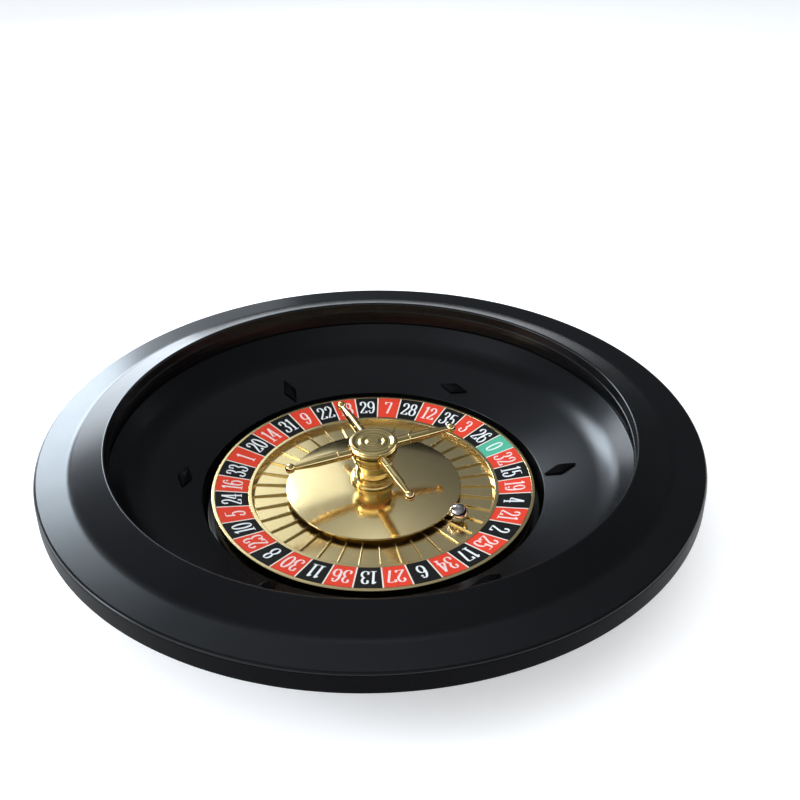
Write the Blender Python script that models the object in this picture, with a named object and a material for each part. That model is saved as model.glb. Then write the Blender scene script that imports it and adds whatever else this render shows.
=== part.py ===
"""An 18 inch roulette wheel: a black moulded bowl, and a gilt rotor that spins in it on a ball bearing.

Metres, +Z up. The origin is on the spindle's axis, on the table under the rubber feet.
Radii are built outwards from the spindle and heights upwards from the table, so that a change to one
size moves everything that seats on it.
"""
import math

import bmesh
import bpy
from mathutils import Matrix, Vector

MM = 0.001

# Clearances and walls that several pieces share
SEAT = 0.3 * MM              # gap between pieces that touch or fit into each other
ROTOR_RUN = 1.2 * MM         # running gap between the rotor and the bowl's floor
WALL = 2.6 * MM              # moulded wall of the bowl and the rim
PLATE_T = 1.8 * MM           # moulded wall of the gilt pocket ring
OVERRUN = 1.0 * MM           # how far a cutter passes the face that it opens
WELD = 0.001 * MM            # points nearer than this are one point

# How many facets a full turn has
POCKETS = 37                 # the rotor's rings have one facet for each
BOWL_STEPS = 44
CONE_STEPS = 36
TURRET_STEPS = 20
HUB_STEPS = 16
SMALL_STEPS = 8
SCREW_STEPS = 6
NUT_SIDES = 6
ARC_STEPS = 5                # facets along the ball track's curve
UNDER_STEPS = 2              # and along its underside

# Rubber feet, plugged into the floor
FEET = 4
FOOT_H = 3.0 * MM
FOOT_R = 9.0 * MM
FOOT_BEVEL = 0.8 * MM
FOOT_STEM_R = 2.8 * MM
FOOT_HEAD_R = 4.0 * MM
FOOT_HEAD_H = 1.6 * MM
FOOT_INSET = 14.0 * MM       # from the well's wall in to a foot's centre

# Bowl: floor and the boss under the spindle
FLOOR_T = 2.5 * MM
BOSS_R = 11.5 * MM
BOSS_RISE = 2.8 * MM
BOSS_POCKET_R = 8.5 * MM     # hollow under the boss, for the nut

# Spindle and its nut
SPINDLE_R = 3.9 * MM
SPINDLE_CHAMFER = 0.6 * MM
COLLAR_R = 6.8 * MM
COLLAR_H = 2.0 * MM
THREAD_R = 3.0 * MM
THREAD_OUT = 0.4 * MM        # thread that shows past the nut
WASHER_R = 6.5 * MM
WASHER_T = 1.0 * MM
NUT_FLATS = 10.0 * MM
NUT_H = 3.0 * MM

# Ball bearing
BEARING_W = 7.0 * MM
BEARING_R = 11.0 * MM
RACE_T = 1.9 * MM            # wall of each race
RACE_GROOVE = 0.5 * MM       # depth of the groove that the balls run in
BEARING_BALLS = 7
BEARING_BALL_R = 1.5 * MM
CAGE_T = 0.8 * MM
CAGE_H = 1.6 * MM
SPINDLE_PROUD = 0.8 * MM     # spindle above the bearing

# Rotor hub, hidden under the cone
HUB_FLANGE_EDGE = 2.95 * MM  # flange outside its screws' heads
HUB_FLANGE_T = 2.4 * MM
HUB_WALL = 4.0 * MM
HUB_RELIEF = 2.0 * MM        # how much wider than the bearing the hub is around the boss
HUB_LEDGE = 1.8 * MM         # ledge that the bearing is pressed against
HUB_RIBS = 4
HUB_RIB_T = 2.0 * MM
HUB_RIB_REACH = 16.0 * MM

# Pocket plate, separator ring and pocket ring: radii built outwards from the cone's edge
CONE_R = 64.5 * MM
POCKET_L = 23.0 * MM
BEVEL_W = 4.4 * MM           # bevelled inner border
BORDER_FLAT = 0.8 * MM
CELL_L = 23.3 * MM           # numbered cells
BORDER_OUT_W = 2.5 * MM
POCKET_LEAN = 0.6 * MM       # draft of the pockets' outer wall
WEB_L = 22.5 * MM            # plate from the cone's edge inwards
PLATE_UNDER_RING = 14.0 * MM  # plate from the pockets' outer wall outwards, under the ring
POCKET_RISE = 1.0 * MM       # floor's climb from the cone to the outer wall
POCKET_WALL_H = 3.7 * MM
BEVEL_RISE = 2.3 * MM
CELL_RISE = 3.9 * MM
RING_EDGE = 0.7 * MM         # rounding of the outer border
RING_SKIRT_H = 12.4 * MM

# Separators, which stand out from one thin web that the cone clamps on the pocket plate
SEPARATOR_WEB_T = 1.2 * MM
FIN_T = 1.0 * MM             # at the top
FIN_FOOT_T = 1.4 * MM
FIN_H_IN = 5.4 * MM          # above the floor, at the cone
FIN_DROP_OUT = 0.2 * MM      # below the bevel, at the outer wall
FIN_UNDER_CONE = 3.5 * MM    # how far it runs in under the cone
FIN_ROOT = 1.5 * MM          # length of its root in the web
FIN_FOOT_LIFT = 0.15 * MM    # foot above the web's underside

# Printed number ring
NUMBER_T = 0.6 * MM

# Cone
CONE_T = 1.5 * MM
CONE_EDGE_LIFT = 7.7 * MM    # cone's edge above the pockets' floor
CONE_RISE = 4.8 * MM         # from its edge up to the turret
CONE_ROUND = 0.6 * MM
CONE_POINTS = 4
CONE_FOOT_W = 6.5 * MM       # ring that it stands on
CONE_FOOT_INSET = 15.0 * MM

# Rotor screws, up into the cone, and ring screws, up into the pocket ring
HEAD_CHAMFER_SHARE = 1.0 / 3.0
ROTOR_SCREWS = 4
ROTOR_SCREW_R = 1.5 * MM
ROTOR_SCREW_HEAD_R = 2.8 * MM
ROTOR_SCREW_HEAD_H = 1.2 * MM
ROTOR_SCREW_GRIP = 4.0 * MM  # length in the cone's foot
RING_SCREWS = 4
RING_SCREW_GRIP = 3.0 * MM   # length in the ring's bosses
RING_SCREW_INSET = 4.5 * MM  # from the plate's edge in to a screw's axis
RING_BOSS_R = 3.2 * MM

# Turret
STUD_R = 3.0 * MM
TURRET_BASE_R = 17.0 * MM
TURRET_BASE_H = 5.3 * MM
NECK_R = 13.0 * MM
NECK_H = 10.0 * MM
BEAD_R = 14.2 * MM
BEAD_H = 1.6 * MM
TURRET_HUB_R = 17.4 * MM
TURRET_HUB_H = 13.0 * MM
CAP_R = 17.8 * MM
CAP_H = 2.4 * MM
CAP_DISH = 1.0 * MM          # depth of the grooves between its rings
CAP_BITE = 1.2 * MM          # depth of the stud's hole in the cap
# Outlines of the turret, top to bottom: (share of the radius, share of the height or depth)
BASE_SHARES = ((0.84, 1.0), (0.94, 0.9), (0.94, 0.62), (0.87, 0.5), (1.0, 0.38), (1.0, 0.0))
HUB_SHARES = ((0.96, 1.0), (1.0, 0.93), (1.0, 0.62), (0.94, 0.36), (0.81, 0.1))
BEAD_SHARES = ((0.95, 0.8), (1.0, 0.5), (0.95, 0.2))
CAP_TOP_SHARES = ((0.3, 0.3), (0.36, 1.0), (0.46, 1.0), (0.53, 0.4), (0.61, 1.0), (0.72, 1.0),
                  (0.84, 0.2), (0.95, 0.4), (1.0, 1.3))
CAP_EDGE_SHARES = ((1.0, 0.2), (0.96, 0.0))

# Spokes
ARMS = 4
ARM_AZIMUTH = math.radians(22.4)
ARM_BELOW_CAP = 3.7 * MM     # from the top of the hub down to the spokes' axis
ARM_PEG_R = 2.4 * MM
ARM_PEG_L = 6.0 * MM
ARM_ROOT_R = 3.7 * MM
ARM_ROOT_L = 10.0 * MM
ARM_GROOVE_R = 3.1 * MM
ARM_GROOVE_W = 0.8 * MM
ARM_BARREL_R = 3.6 * MM
ARM_BARREL_L = 15.5 * MM
ARM_TAPER_L = 16.0 * MM
ARM_NECK_R = 2.0 * MM
ARM_TIP_R = 3.6 * MM
ARM_TIP_POINTS = 4

# Steel ball, which is too wide for a pocket and lies on two separators beside the cone's edge
BALL_R = 6.9 * MM
BALL_FROM_CONE = 7.1 * MM    # cone's edge to the ball's centre
BALL_POCKET = -4             # pockets counted anticlockwise from +X
BALL_STEPS = 14
BALL_RINGS = 8
BEARING_BALL_STEPS = 6
BEARING_BALL_RINGS = 4

# Bowl: well, apron and ball track, outwards from the rotor
WELL_GAP = 7.5 * MM          # black gap around the rotor
WELL_DRAFT = 2.0 * MM
WELL_FILLET = 3.0 * MM
APRON_LEDGE = 0.6 * MM       # apron's inner edge above the rotor
APRON_ROUND = 0.8 * MM
APRON_L = 34.0 * MM
APRON_ANGLE = math.radians(22.4)
TRACK_R = 46.6 * MM          # radius of the ball track's curve
TRACK_TOP_ANGLE = math.radians(61.0)
FLANGE_L = 16.0 * MM         # seat for the rim
BOWL_RIBS = 8
BOWL_RIB_T = 2.0 * MM
BOWL_RIB_FOOT = 1.0 * MM     # from a rib's lower edge up to the floor's underside

# Rim
GROOVE_D = 3.0 * MM          # how far the lip overhangs the ball track
LIP_LIFT = 8.0 * MM          # lip's underside above the flange
LIP_STEP_LIFT = 5.5 * MM     # small step in the inner wall, above the lip's underside
LIP_STEP = 0.5 * MM
LIP_LEAN = 0.8 * MM          # inner wall's lean above the step
LIP_ROUND = 1.4 * MM
CREST_LIFT = 12.6 * MM       # crest above the lip's underside
BAND_IN_W = 24.0 * MM
BAND_IN_FALL = 7.5 * MM
BAND_OUT_W = 22.2 * MM
BAND_OUT_FALL = 0.6 * MM
EDGE_ROUND = 2.2 * MM
SKIRT_H = 13.9 * MM
SKIRT_FLARE = 0.4 * MM

# Rim screws and the bosses that they bite in
RIM_SCREWS = 6
RIM_BOSS_R = 3.8 * MM
RIM_BOSS_INSET = 5.6 * MM    # from the flange's edge in to a boss's axis
RIM_SCREW_R = 1.4 * MM
RIM_SCREW_HEAD_R = 3.0 * MM
RIM_SCREW_HEAD_H = 1.8 * MM
RIM_SCREW_GRIP = 8.0 * MM

# Diamond deflectors, on the middle of the apron
DEFLECTORS = 6
DEFLECTOR_L = 25.0 * MM
DEFLECTOR_W = 10.5 * MM
DEFLECTOR_H = 4.0 * MM
DEFLECTOR_SIDE_H = 1.0 * MM
DEFLECTOR_OUT = 12.0 * MM    # from the apron's inner edge out to a diamond's centre
DEFLECTOR_TOP_SHARE = 0.3    # length of the ridge against the whole diamond

# Heights from the table, floor and spindle
FLOOR_UNDER_Z = FOOT_H + SEAT
FLOOR_Z = FLOOR_UNDER_Z + FLOOR_T
BOSS_Z = FLOOR_Z + BOSS_RISE
BOSS_POCKET_Z = FLOOR_UNDER_Z + BOSS_RISE
WASHER_Z = BOSS_POCKET_Z - SEAT - WASHER_T
NUT_Z = WASHER_Z - SEAT - NUT_H
COLLAR_Z = BOSS_Z + SEAT
BEARING_Z = COLLAR_Z + COLLAR_H + SEAT
BEARING_TOP_Z = BEARING_Z + BEARING_W
SPINDLE_TOP_Z = BEARING_TOP_Z + SPINDLE_PROUD

# Heights, rotor
HUB_Z = FLOOR_Z + ROTOR_RUN
HUB_FLANGE_Z = HUB_Z + HUB_FLANGE_T
WEB_Z = HUB_FLANGE_Z + SEAT
POCKET_Z = WEB_Z + PLATE_T
SEPARATOR_Z = POCKET_Z + SEAT
CONE_FOOT_Z = SEPARATOR_Z + SEPARATOR_WEB_T + SEAT
POCKET_OUT_Z = POCKET_Z + POCKET_RISE
BEVEL_Z = POCKET_OUT_Z + POCKET_WALL_H
CELL_IN_Z = BEVEL_Z + BEVEL_RISE
RING_Z = CELL_IN_Z + CELL_RISE
RECESS_D = NUMBER_T + SEAT
CONE_EDGE_Z = POCKET_Z + CONE_EDGE_LIFT
CONE_Z = CONE_EDGE_Z + CONE_RISE
HUB_CEILING_Z = SPINDLE_TOP_Z + SEAT + SEAT
HUB_TOP_Z = CONE_Z - CONE_T - SEAT
TURRET_Z = CONE_Z + SEAT
COLUMN_Z = TURRET_Z + TURRET_BASE_H + SEAT
BEAD_Z = COLUMN_Z + NECK_H
TURRET_HUB_Z = BEAD_Z + BEAD_H
COLUMN_TOP_Z = TURRET_HUB_Z + TURRET_HUB_H
CAP_Z = COLUMN_TOP_Z + SEAT
ARM_Z = COLUMN_TOP_Z - ARM_BELOW_CAP

# Radii, rotor
POCKET_OUT_R = CONE_R + POCKET_L
BEVEL_OUT_R = POCKET_OUT_R + BEVEL_W
CELL_IN_R = BEVEL_OUT_R + BORDER_FLAT
CELL_OUT_R = CELL_IN_R + CELL_L
ROTOR_R = CELL_OUT_R + BORDER_OUT_W
WEB_IN_R = CONE_R - WEB_L
CONE_FOOT_R = CONE_R - CONE_FOOT_INSET
ROTOR_SCREW_PITCH_R = CONE_FOOT_R - CONE_FOOT_W / 2
HUB_FLANGE_R = ROTOR_SCREW_PITCH_R + ROTOR_SCREW_HEAD_R + HUB_FLANGE_EDGE
PLATE_OUT_R = POCKET_OUT_R + PLATE_UNDER_RING
RING_SCREW_PITCH_R = PLATE_OUT_R - RING_SCREW_INSET
STUD_HOLE_R = STUD_R + SEAT
ARM_ROOT_X = TURRET_HUB_R + SEAT

# Bowl and rim
WELL_R = ROTOR_R + WELL_GAP
WELL_FLOOR_R = WELL_R - WELL_DRAFT
APRON_Z = RING_Z + APRON_LEDGE
APRON_OUT_R = WELL_R + APRON_L
APRON_OUT_Z = APRON_Z + APRON_L * math.tan(APRON_ANGLE)
TRACK_CENTRE_R = APRON_OUT_R - TRACK_R * math.sin(APRON_ANGLE)
TRACK_CENTRE_Z = APRON_OUT_Z + TRACK_R * math.cos(APRON_ANGLE)
TRACK_TOP_R = TRACK_CENTRE_R + TRACK_R * math.sin(TRACK_TOP_ANGLE)
FLANGE_Z = TRACK_CENTRE_Z - TRACK_R * math.cos(TRACK_TOP_ANGLE)
FLANGE_UNDER_Z = FLANGE_Z - WALL
FLANGE_R = TRACK_TOP_R + FLANGE_L
RIM_FOOT_Z = FLANGE_Z + SEAT
LIP_Z = FLANGE_Z + LIP_LIFT
LIP_STEP_Z = LIP_Z + LIP_STEP_LIFT
CREST_Z = LIP_Z + CREST_LIFT
CREST_R = TRACK_TOP_R + LIP_LEAN
CREASE_R = CREST_R + BAND_IN_W
CREASE_Z = CREST_Z - BAND_IN_FALL
BRIM_R = CREASE_R + BAND_OUT_W
BRIM_Z = CREASE_Z - BAND_OUT_FALL
SKIRT_Z = BRIM_Z - SKIRT_H
GROOVE_R = TRACK_TOP_R + GROOVE_D
RIM_BOSS_PITCH_R = FLANGE_R - RIM_BOSS_INSET
FOOT_PITCH_R = WELL_FLOOR_R - FOOT_INSET
BALL_PITCH_R = CONE_R + BALL_FROM_CONE


def material(name, rgb, roughness, metallic):
    """Principled material of one colour."""
    mat = bpy.data.materials.new(name)
    mat.use_nodes = True
    shader = mat.node_tree.nodes["Principled BSDF"]
    shader.inputs["Base Color"].default_value = (*rgb, 1.0)
    shader.inputs["Roughness"].default_value = roughness
    shader.inputs["Metallic"].default_value = metallic
    return mat


def black_abs(name):
    return material(name, (0.012, 0.013, 0.015), 0.34, 0.0)


def gilt(name, roughness=0.16):
    return material(name, (0.72, 0.53, 0.25), roughness, 1.0)


def steel(name):
    return material(name, (0.56, 0.57, 0.58), 0.25, 1.0)


def mesh_object(name, bm, mat, crease=math.radians(30.0)):
    """Object from a finished bmesh: faces outwards, round parts smooth."""
    bmesh.ops.remove_doubles(bm, verts=bm.verts, dist=WELD)
    bmesh.ops.recalc_face_normals(bm, faces=bm.faces)
    mesh = bpy.data.meshes.new(name)
    bm.to_mesh(mesh)
    bm.free()
    mesh.materials.append(mat)
    mesh.shade_smooth()
    mesh.set_sharp_from_angle(angle=crease)
    obj = bpy.data.objects.new(name, mesh)
    bpy.context.collection.objects.link(obj)
    return obj


def spun(outline, steps, closed=True):
    """Bmesh of an outline of (radius, height) points, spun once about Z.

    A closed outline gives a ring. An open one starts and ends on the axis.
    """
    bm = bmesh.new()
    verts = [bm.verts.new((radius, 0.0, height)) for radius, height in outline]
    pairs = list(zip(verts, verts[1:]))
    if closed:
        pairs.append((verts[-1], verts[0]))
    edges = [bm.edges.new(pair) for pair in pairs]
    bmesh.ops.spin(bm, geom=verts + edges, cent=(0.0, 0.0, 0.0), axis=(0.0, 0.0, 1.0),
                   angle=math.tau, steps=steps)
    bmesh.ops.remove_doubles(bm, verts=bm.verts, dist=WELD)
    bmesh.ops.recalc_face_normals(bm, faces=bm.faces)
    return bm


def turned(name, outline, steps, mat, closed=True):
    return mesh_object(name, spun(outline, steps, closed), mat)


def rod(radius, low, high, steps=SMALL_STEPS):
    """Bmesh of a plain cylinder along Z."""
    return spun([(0.0, high), (radius, high), (radius, low), (0.0, low)], steps, closed=False)


def merge(target, source, matrix):
    """Add a moved copy of one bmesh to another."""
    mesh = bpy.data.meshes.new("moved")
    source.to_mesh(mesh)
    mesh.transform(matrix)
    target.from_mesh(mesh)
    bpy.data.meshes.remove(mesh)


def ring_of(source, count, pitch_radius, start=0.0):
    """Bmesh with copies of a small one on a circle, each turned to face outwards."""
    bm = bmesh.new()
    for index in range(count):
        turn = Matrix.Rotation(start + index * math.tau / count, 4, "Z")
        merge(bm, source, turn @ Matrix.Translation((pitch_radius, 0.0, 0.0)))
    source.free()
    return bm


def apply_boolean(obj, tool_bm, operation):
    """Join or cut an object with the closed bodies of a bmesh."""
    bmesh.ops.recalc_face_normals(tool_bm, faces=tool_bm.faces)
    tool_mesh = bpy.data.meshes.new("tool")
    tool_bm.to_mesh(tool_mesh)
    tool_bm.free()
    tool = bpy.data.objects.new("tool", tool_mesh)
    bpy.context.collection.objects.link(tool)
    modifier = obj.modifiers.new(operation.lower(), "BOOLEAN")
    modifier.operation = operation
    modifier.solver = "EXACT"
    modifier.object = tool
    graph = bpy.context.evaluated_depsgraph_get()
    result = bpy.data.meshes.new_from_object(obj.evaluated_get(graph))
    old = obj.data
    obj.modifiers.clear()
    obj.data = result
    result.name = obj.name
    bpy.data.meshes.remove(old)
    bpy.data.objects.remove(tool)
    bpy.data.meshes.remove(tool_mesh)
    obj.data.shade_smooth()
    obj.data.set_sharp_from_angle(angle=math.radians(30.0))


def arc(centre, radius, start, end, steps):
    """Points of an arc; an angle is the slope of the curve there, rising outwards."""
    points = []
    for index in range(steps + 1):
        slope = start + (end - start) * index / steps
        points.append((centre[0] + radius * math.sin(slope), centre[1] - radius * math.cos(slope)))
    return points


def scaled(shares, radius, base, height):
    """Outline points from a table of shares of a radius and of a height above a base."""
    return [(radius * across, base + height * up) for across, up in shares]


def apron_height(radius):
    """Height of the apron's cone at a radius."""
    return APRON_Z + (radius - WELL_R) * math.tan(APRON_ANGLE)


def make_bowl():
    """Flange, ball track, apron, well and floor: one moulded shell with ribs underneath."""
    centre = (TRACK_CENTRE_R, TRACK_CENTRE_Z)
    under_r = TRACK_R + WALL
    under_top = math.acos((TRACK_CENTRE_Z - FLANGE_UNDER_Z) / under_r)
    track = arc(centre, TRACK_R, TRACK_TOP_ANGLE, APRON_ANGLE, ARC_STEPS)
    track_under = arc(centre, under_r, APRON_ANGLE, under_top, UNDER_STEPS)
    well_out_r = WELL_R + WALL
    shoulder_z = APRON_Z - WALL / math.cos(APRON_ANGLE) + WALL * math.tan(APRON_ANGLE)
    outline = [
        (0.0, FLOOR_UNDER_Z),
        (WELL_FLOOR_R - WELL_FILLET + WALL, FLOOR_UNDER_Z),
        (WELL_FLOOR_R + WALL, FLOOR_UNDER_Z + WELL_FILLET),
        (well_out_r, shoulder_z),
    ] + track_under + [(FLANGE_R, FLANGE_UNDER_Z), (FLANGE_R, FLANGE_Z)] + track + [
        (WELL_R + APRON_ROUND, APRON_Z + APRON_ROUND * math.tan(APRON_ANGLE)),
        (WELL_R, APRON_Z - APRON_ROUND),
        (WELL_FLOOR_R, FLOOR_Z + WELL_FILLET),
        (WELL_FLOOR_R - WELL_FILLET, FLOOR_Z),
        (0.0, FLOOR_Z),
    ]
    bowl = turned("bowl", outline, BOWL_STEPS, black_abs("bowl_abs"), closed=False)
    apply_boolean(bowl, bowl_ribs(well_out_r, under_r), "UNION")
    apply_boolean(bowl, rod(BOSS_R, FLOOR_Z - FLOOR_T / 2, BOSS_Z, HUB_STEPS), "UNION")
    holes = spun([(0.0, BOSS_Z + OVERRUN), (THREAD_R + SEAT, BOSS_Z + OVERRUN),
                  (THREAD_R + SEAT, BOSS_POCKET_Z), (BOSS_POCKET_R, BOSS_POCKET_Z),
                  (BOSS_POCKET_R, FLOOR_UNDER_Z - OVERRUN), (0.0, FLOOR_UNDER_Z - OVERRUN)],
                 HUB_STEPS, closed=False)
    screw_hole = rod(RIM_SCREW_R + SEAT, FLANGE_UNDER_Z - OVERRUN, FLANGE_Z + OVERRUN)
    screw_holes = ring_of(screw_hole, RIM_SCREWS, RIM_BOSS_PITCH_R, math.pi / RIM_SCREWS)
    merge(holes, screw_holes, Matrix.Identity(4))
    screw_holes.free()
    foot_hole = rod(FOOT_STEM_R + SEAT, FLOOR_UNDER_Z - OVERRUN, FLOOR_Z + OVERRUN)
    foot_holes = ring_of(foot_hole, FEET, FOOT_PITCH_R, math.pi / FEET)
    merge(holes, foot_holes, Matrix.Identity(4))
    foot_holes.free()
    apply_boolean(bowl, holes, "DIFFERENCE")
    return bowl


def bowl_ribs(inner_r, under_r):
    """Radial ribs under the apron, from the well's wall out to the flange's screws."""
    outer_r = RIM_BOSS_PITCH_R - RIM_SCREW_HEAD_R - SEAT - SEAT
    sunk = WALL / 2
    top = [(inner_r - sunk, APRON_Z - WALL), (WELL_R + WALL, APRON_Z - sunk)]
    top += arc((TRACK_CENTRE_R, TRACK_CENTRE_Z), under_r - sunk, APRON_ANGLE, TRACK_TOP_ANGLE, UNDER_STEPS)
    top[-1] = (top[-1][0], FLANGE_UNDER_Z + sunk)
    side = top + [(outer_r, FLANGE_UNDER_Z + sunk), (outer_r, FLANGE_UNDER_Z - WALL)]
    side.append((inner_r - sunk, FLOOR_UNDER_Z + WELL_FILLET + BOWL_RIB_FOOT))
    bm = bmesh.new()
    face = bm.faces.new([bm.verts.new((x, -BOWL_RIB_T / 2, z)) for x, z in side])
    grown = bmesh.ops.extrude_face_region(bm, geom=[face])
    moved = [item for item in grown["geom"] if isinstance(item, bmesh.types.BMVert)]
    bmesh.ops.translate(bm, verts=moved, vec=(0.0, BOWL_RIB_T, 0.0))
    return ring_of(bm, BOWL_RIBS, 0.0)


def make_rim():
    """Brim shell, open below: inner wall with its lip, crest, two bands and the skirt."""
    flat_z = BRIM_Z - WALL
    slope = BAND_IN_FALL / BAND_IN_W
    wall_r = GROOVE_R + WALL
    round_45 = EDGE_ROUND * (1.0 - math.sqrt(0.5))
    lip_45 = LIP_ROUND * (1.0 - math.sqrt(0.5))
    outline = [
        (CREST_R, CREST_Z - LIP_ROUND),
        (CREST_R + lip_45, CREST_Z - lip_45),
        (CREST_R + LIP_ROUND, CREST_Z),
        (CREASE_R, CREASE_Z),
        (BRIM_R - EDGE_ROUND, BRIM_Z),
        (BRIM_R - round_45, BRIM_Z - round_45),
        (BRIM_R, BRIM_Z - EDGE_ROUND),
        (BRIM_R + SKIRT_FLARE, SKIRT_Z),
        (BRIM_R + SKIRT_FLARE - WALL, SKIRT_Z),
        (BRIM_R - WALL, flat_z),
        (CREASE_R, CREASE_Z - WALL),
        (wall_r, CREST_Z - WALL - (wall_r - CREST_R - LIP_ROUND) * slope),
        (wall_r, RIM_FOOT_Z),
        (GROOVE_R, RIM_FOOT_Z),
        (GROOVE_R, LIP_Z),
        (CREST_R - LIP_LEAN - LIP_STEP, LIP_Z),
        (CREST_R - LIP_LEAN - LIP_STEP, LIP_STEP_Z - LIP_STEP),
        (CREST_R - LIP_LEAN, LIP_STEP_Z),
    ]
    rim = turned("rim", outline, BOWL_STEPS, black_abs("rim_abs"))
    boss_roof_z = CREST_Z - WALL / 2 - (RIM_BOSS_PITCH_R + RIM_BOSS_R - CREST_R) * slope
    boss = rod(RIM_BOSS_R, RIM_FOOT_Z, boss_roof_z)
    apply_boolean(rim, ring_of(boss, RIM_SCREWS, RIM_BOSS_PITCH_R, math.pi / RIM_SCREWS), "UNION")
    hole = rod(RIM_SCREW_R + SEAT, RIM_FOOT_Z - OVERRUN, RIM_FOOT_Z + RIM_SCREW_GRIP + SEAT)
    apply_boolean(rim, ring_of(hole, RIM_SCREWS, RIM_BOSS_PITCH_R, math.pi / RIM_SCREWS), "DIFFERENCE")
    return rim


def make_deflectors():
    """Faceted diamonds whose undersides follow the apron; every second one lies crosswise."""
    centre_r = WELL_R + DEFLECTOR_OUT
    up = Vector((-math.sin(APRON_ANGLE), 0.0, math.cos(APRON_ANGLE)))

    def on_apron(along, across, lift):
        """Point above the apron; along is up the slope, across is to the side."""
        x = centre_r + along * math.cos(APRON_ANGLE)
        radius = math.hypot(x, across)
        return Vector((x, across, apron_height(radius))) + up * (lift + SEAT)

    for index in range(DEFLECTORS):
        along, across = DEFLECTOR_L / 2, DEFLECTOR_W / 2
        if index % 2:
            along, across = across, along
        long_axis = 0 if along > across else 1
        rim_points = [(along, 0.0), (along / 2, across / 2), (0.0, across), (-along / 2, across / 2),
                      (-along, 0.0), (-along / 2, -across / 2), (0.0, -across), (along / 2, -across / 2)]
        bm = bmesh.new()
        low = [bm.verts.new(on_apron(a, b, 0.0)) for a, b in rim_points]
        mid = [bm.verts.new(on_apron(a, b, DEFLECTOR_SIDE_H)) for a, b in rim_points]
        ridge = [0.0, 0.0]
        ridge[long_axis] = DEFLECTOR_TOP_SHARE * max(along, across)
        peaks = [bm.verts.new(on_apron(ridge[0], ridge[1], DEFLECTOR_H)),
                 bm.verts.new(on_apron(-ridge[0], -ridge[1], DEFLECTOR_H))]
        floor_centre = bm.verts.new(on_apron(0.0, 0.0, 0.0))
        for here, point in enumerate(rim_points):
            after = (here + 1) % len(rim_points)
            bm.faces.new((low[here], low[after], mid[after], mid[here]))
            bm.faces.new((low[after], low[here], floor_centre))
            lengthwise = point[long_axis] + rim_points[after][long_axis]
            bm.faces.new((mid[here], mid[after], peaks[0] if lengthwise > 0.0 else peaks[1]))
            if point[long_axis] == 0.0:
                bm.faces.new((mid[here], peaks[0], peaks[1]))
        diamond = mesh_object(f"deflector_{index + 1}", bm, black_abs(f"deflector_{index + 1}_abs"),
                              crease=math.radians(5.0))
        diamond.rotation_euler.z = index * math.tau / DEFLECTORS


def make_feet():
    """Rubber feet, each a disc with a stem and a head above the floor."""
    outline = [
        (0.0, FLOOR_Z + SEAT + FOOT_HEAD_H),
        (FOOT_STEM_R, FLOOR_Z + SEAT + FOOT_HEAD_H),
        (FOOT_HEAD_R, FLOOR_Z + SEAT),
        (FOOT_STEM_R, FLOOR_Z + SEAT),
        (FOOT_STEM_R, FOOT_H),
        (FOOT_R, FOOT_H),
        (FOOT_R, FOOT_BEVEL),
        (FOOT_R - FOOT_BEVEL, 0.0),
        (0.0, 0.0),
    ]
    for index in range(FEET):
        rubber = material(f"foot_{index + 1}_rubber", (0.02, 0.02, 0.02), 0.8, 0.0)
        foot = turned(f"foot_{index + 1}", outline, SMALL_STEPS, rubber, closed=False)
        azimuth = math.pi / FEET + index * math.tau / FEET
        foot.location = (FOOT_PITCH_R * math.cos(azimuth), FOOT_PITCH_R * math.sin(azimuth), 0.0)


def make_spindle():
    """Steel spindle, with the washer and the hexagon nut that hold it under the floor."""
    end_z = NUT_Z - THREAD_OUT
    outline = [
        (0.0, SPINDLE_TOP_Z),
        (SPINDLE_R - SPINDLE_CHAMFER, SPINDLE_TOP_Z),
        (SPINDLE_R, SPINDLE_TOP_Z - SPINDLE_CHAMFER),
        (SPINDLE_R, COLLAR_Z + COLLAR_H),
        (COLLAR_R, COLLAR_Z + COLLAR_H),
        (COLLAR_R, COLLAR_Z),
        (THREAD_R, COLLAR_Z),
        (THREAD_R, end_z),
        (0.0, end_z),
    ]
    turned("spindle", outline, HUB_STEPS, steel("spindle_steel"), closed=False)
    hole_r = THREAD_R + SEAT
    washer = [(WASHER_R, WASHER_Z + WASHER_T), (WASHER_R, WASHER_Z), (hole_r, WASHER_Z),
              (hole_r, WASHER_Z + WASHER_T)]
    turned("spindle_washer", washer, HUB_STEPS, steel("washer_steel"))
    corner_r = NUT_FLATS / math.sqrt(3.0)
    nut_outline = [(0.0, NUT_Z + NUT_H), (corner_r, NUT_Z + NUT_H), (corner_r, NUT_Z), (0.0, NUT_Z)]
    nut = turned("spindle_nut", nut_outline, NUT_SIDES, steel("nut_steel"), closed=False)
    apply_boolean(nut, rod(hole_r, NUT_Z - OVERRUN, NUT_Z + NUT_H + OVERRUN, HUB_STEPS), "DIFFERENCE")


def race(name, bore_r, outer_r, groove_outside):
    """Bearing race with the groove that its balls run in."""
    low, high = BEARING_Z, BEARING_TOP_Z
    middle = (low + high) / 2
    half = BEARING_BALL_R
    if groove_outside:
        groove = [(outer_r, middle + half), (outer_r - RACE_GROOVE, middle), (outer_r, middle - half)]
        outline = [(bore_r, high), (outer_r, high)] + groove + [(outer_r, low), (bore_r, low)]
    else:
        groove = [(bore_r, middle - half), (bore_r + RACE_GROOVE, middle), (bore_r, middle + half)]
        outline = [(outer_r, high), (outer_r, low), (bore_r, low)] + groove + [(bore_r, high)]
    return turned(name, outline, HUB_STEPS, steel(f"{name}_steel"))


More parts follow.
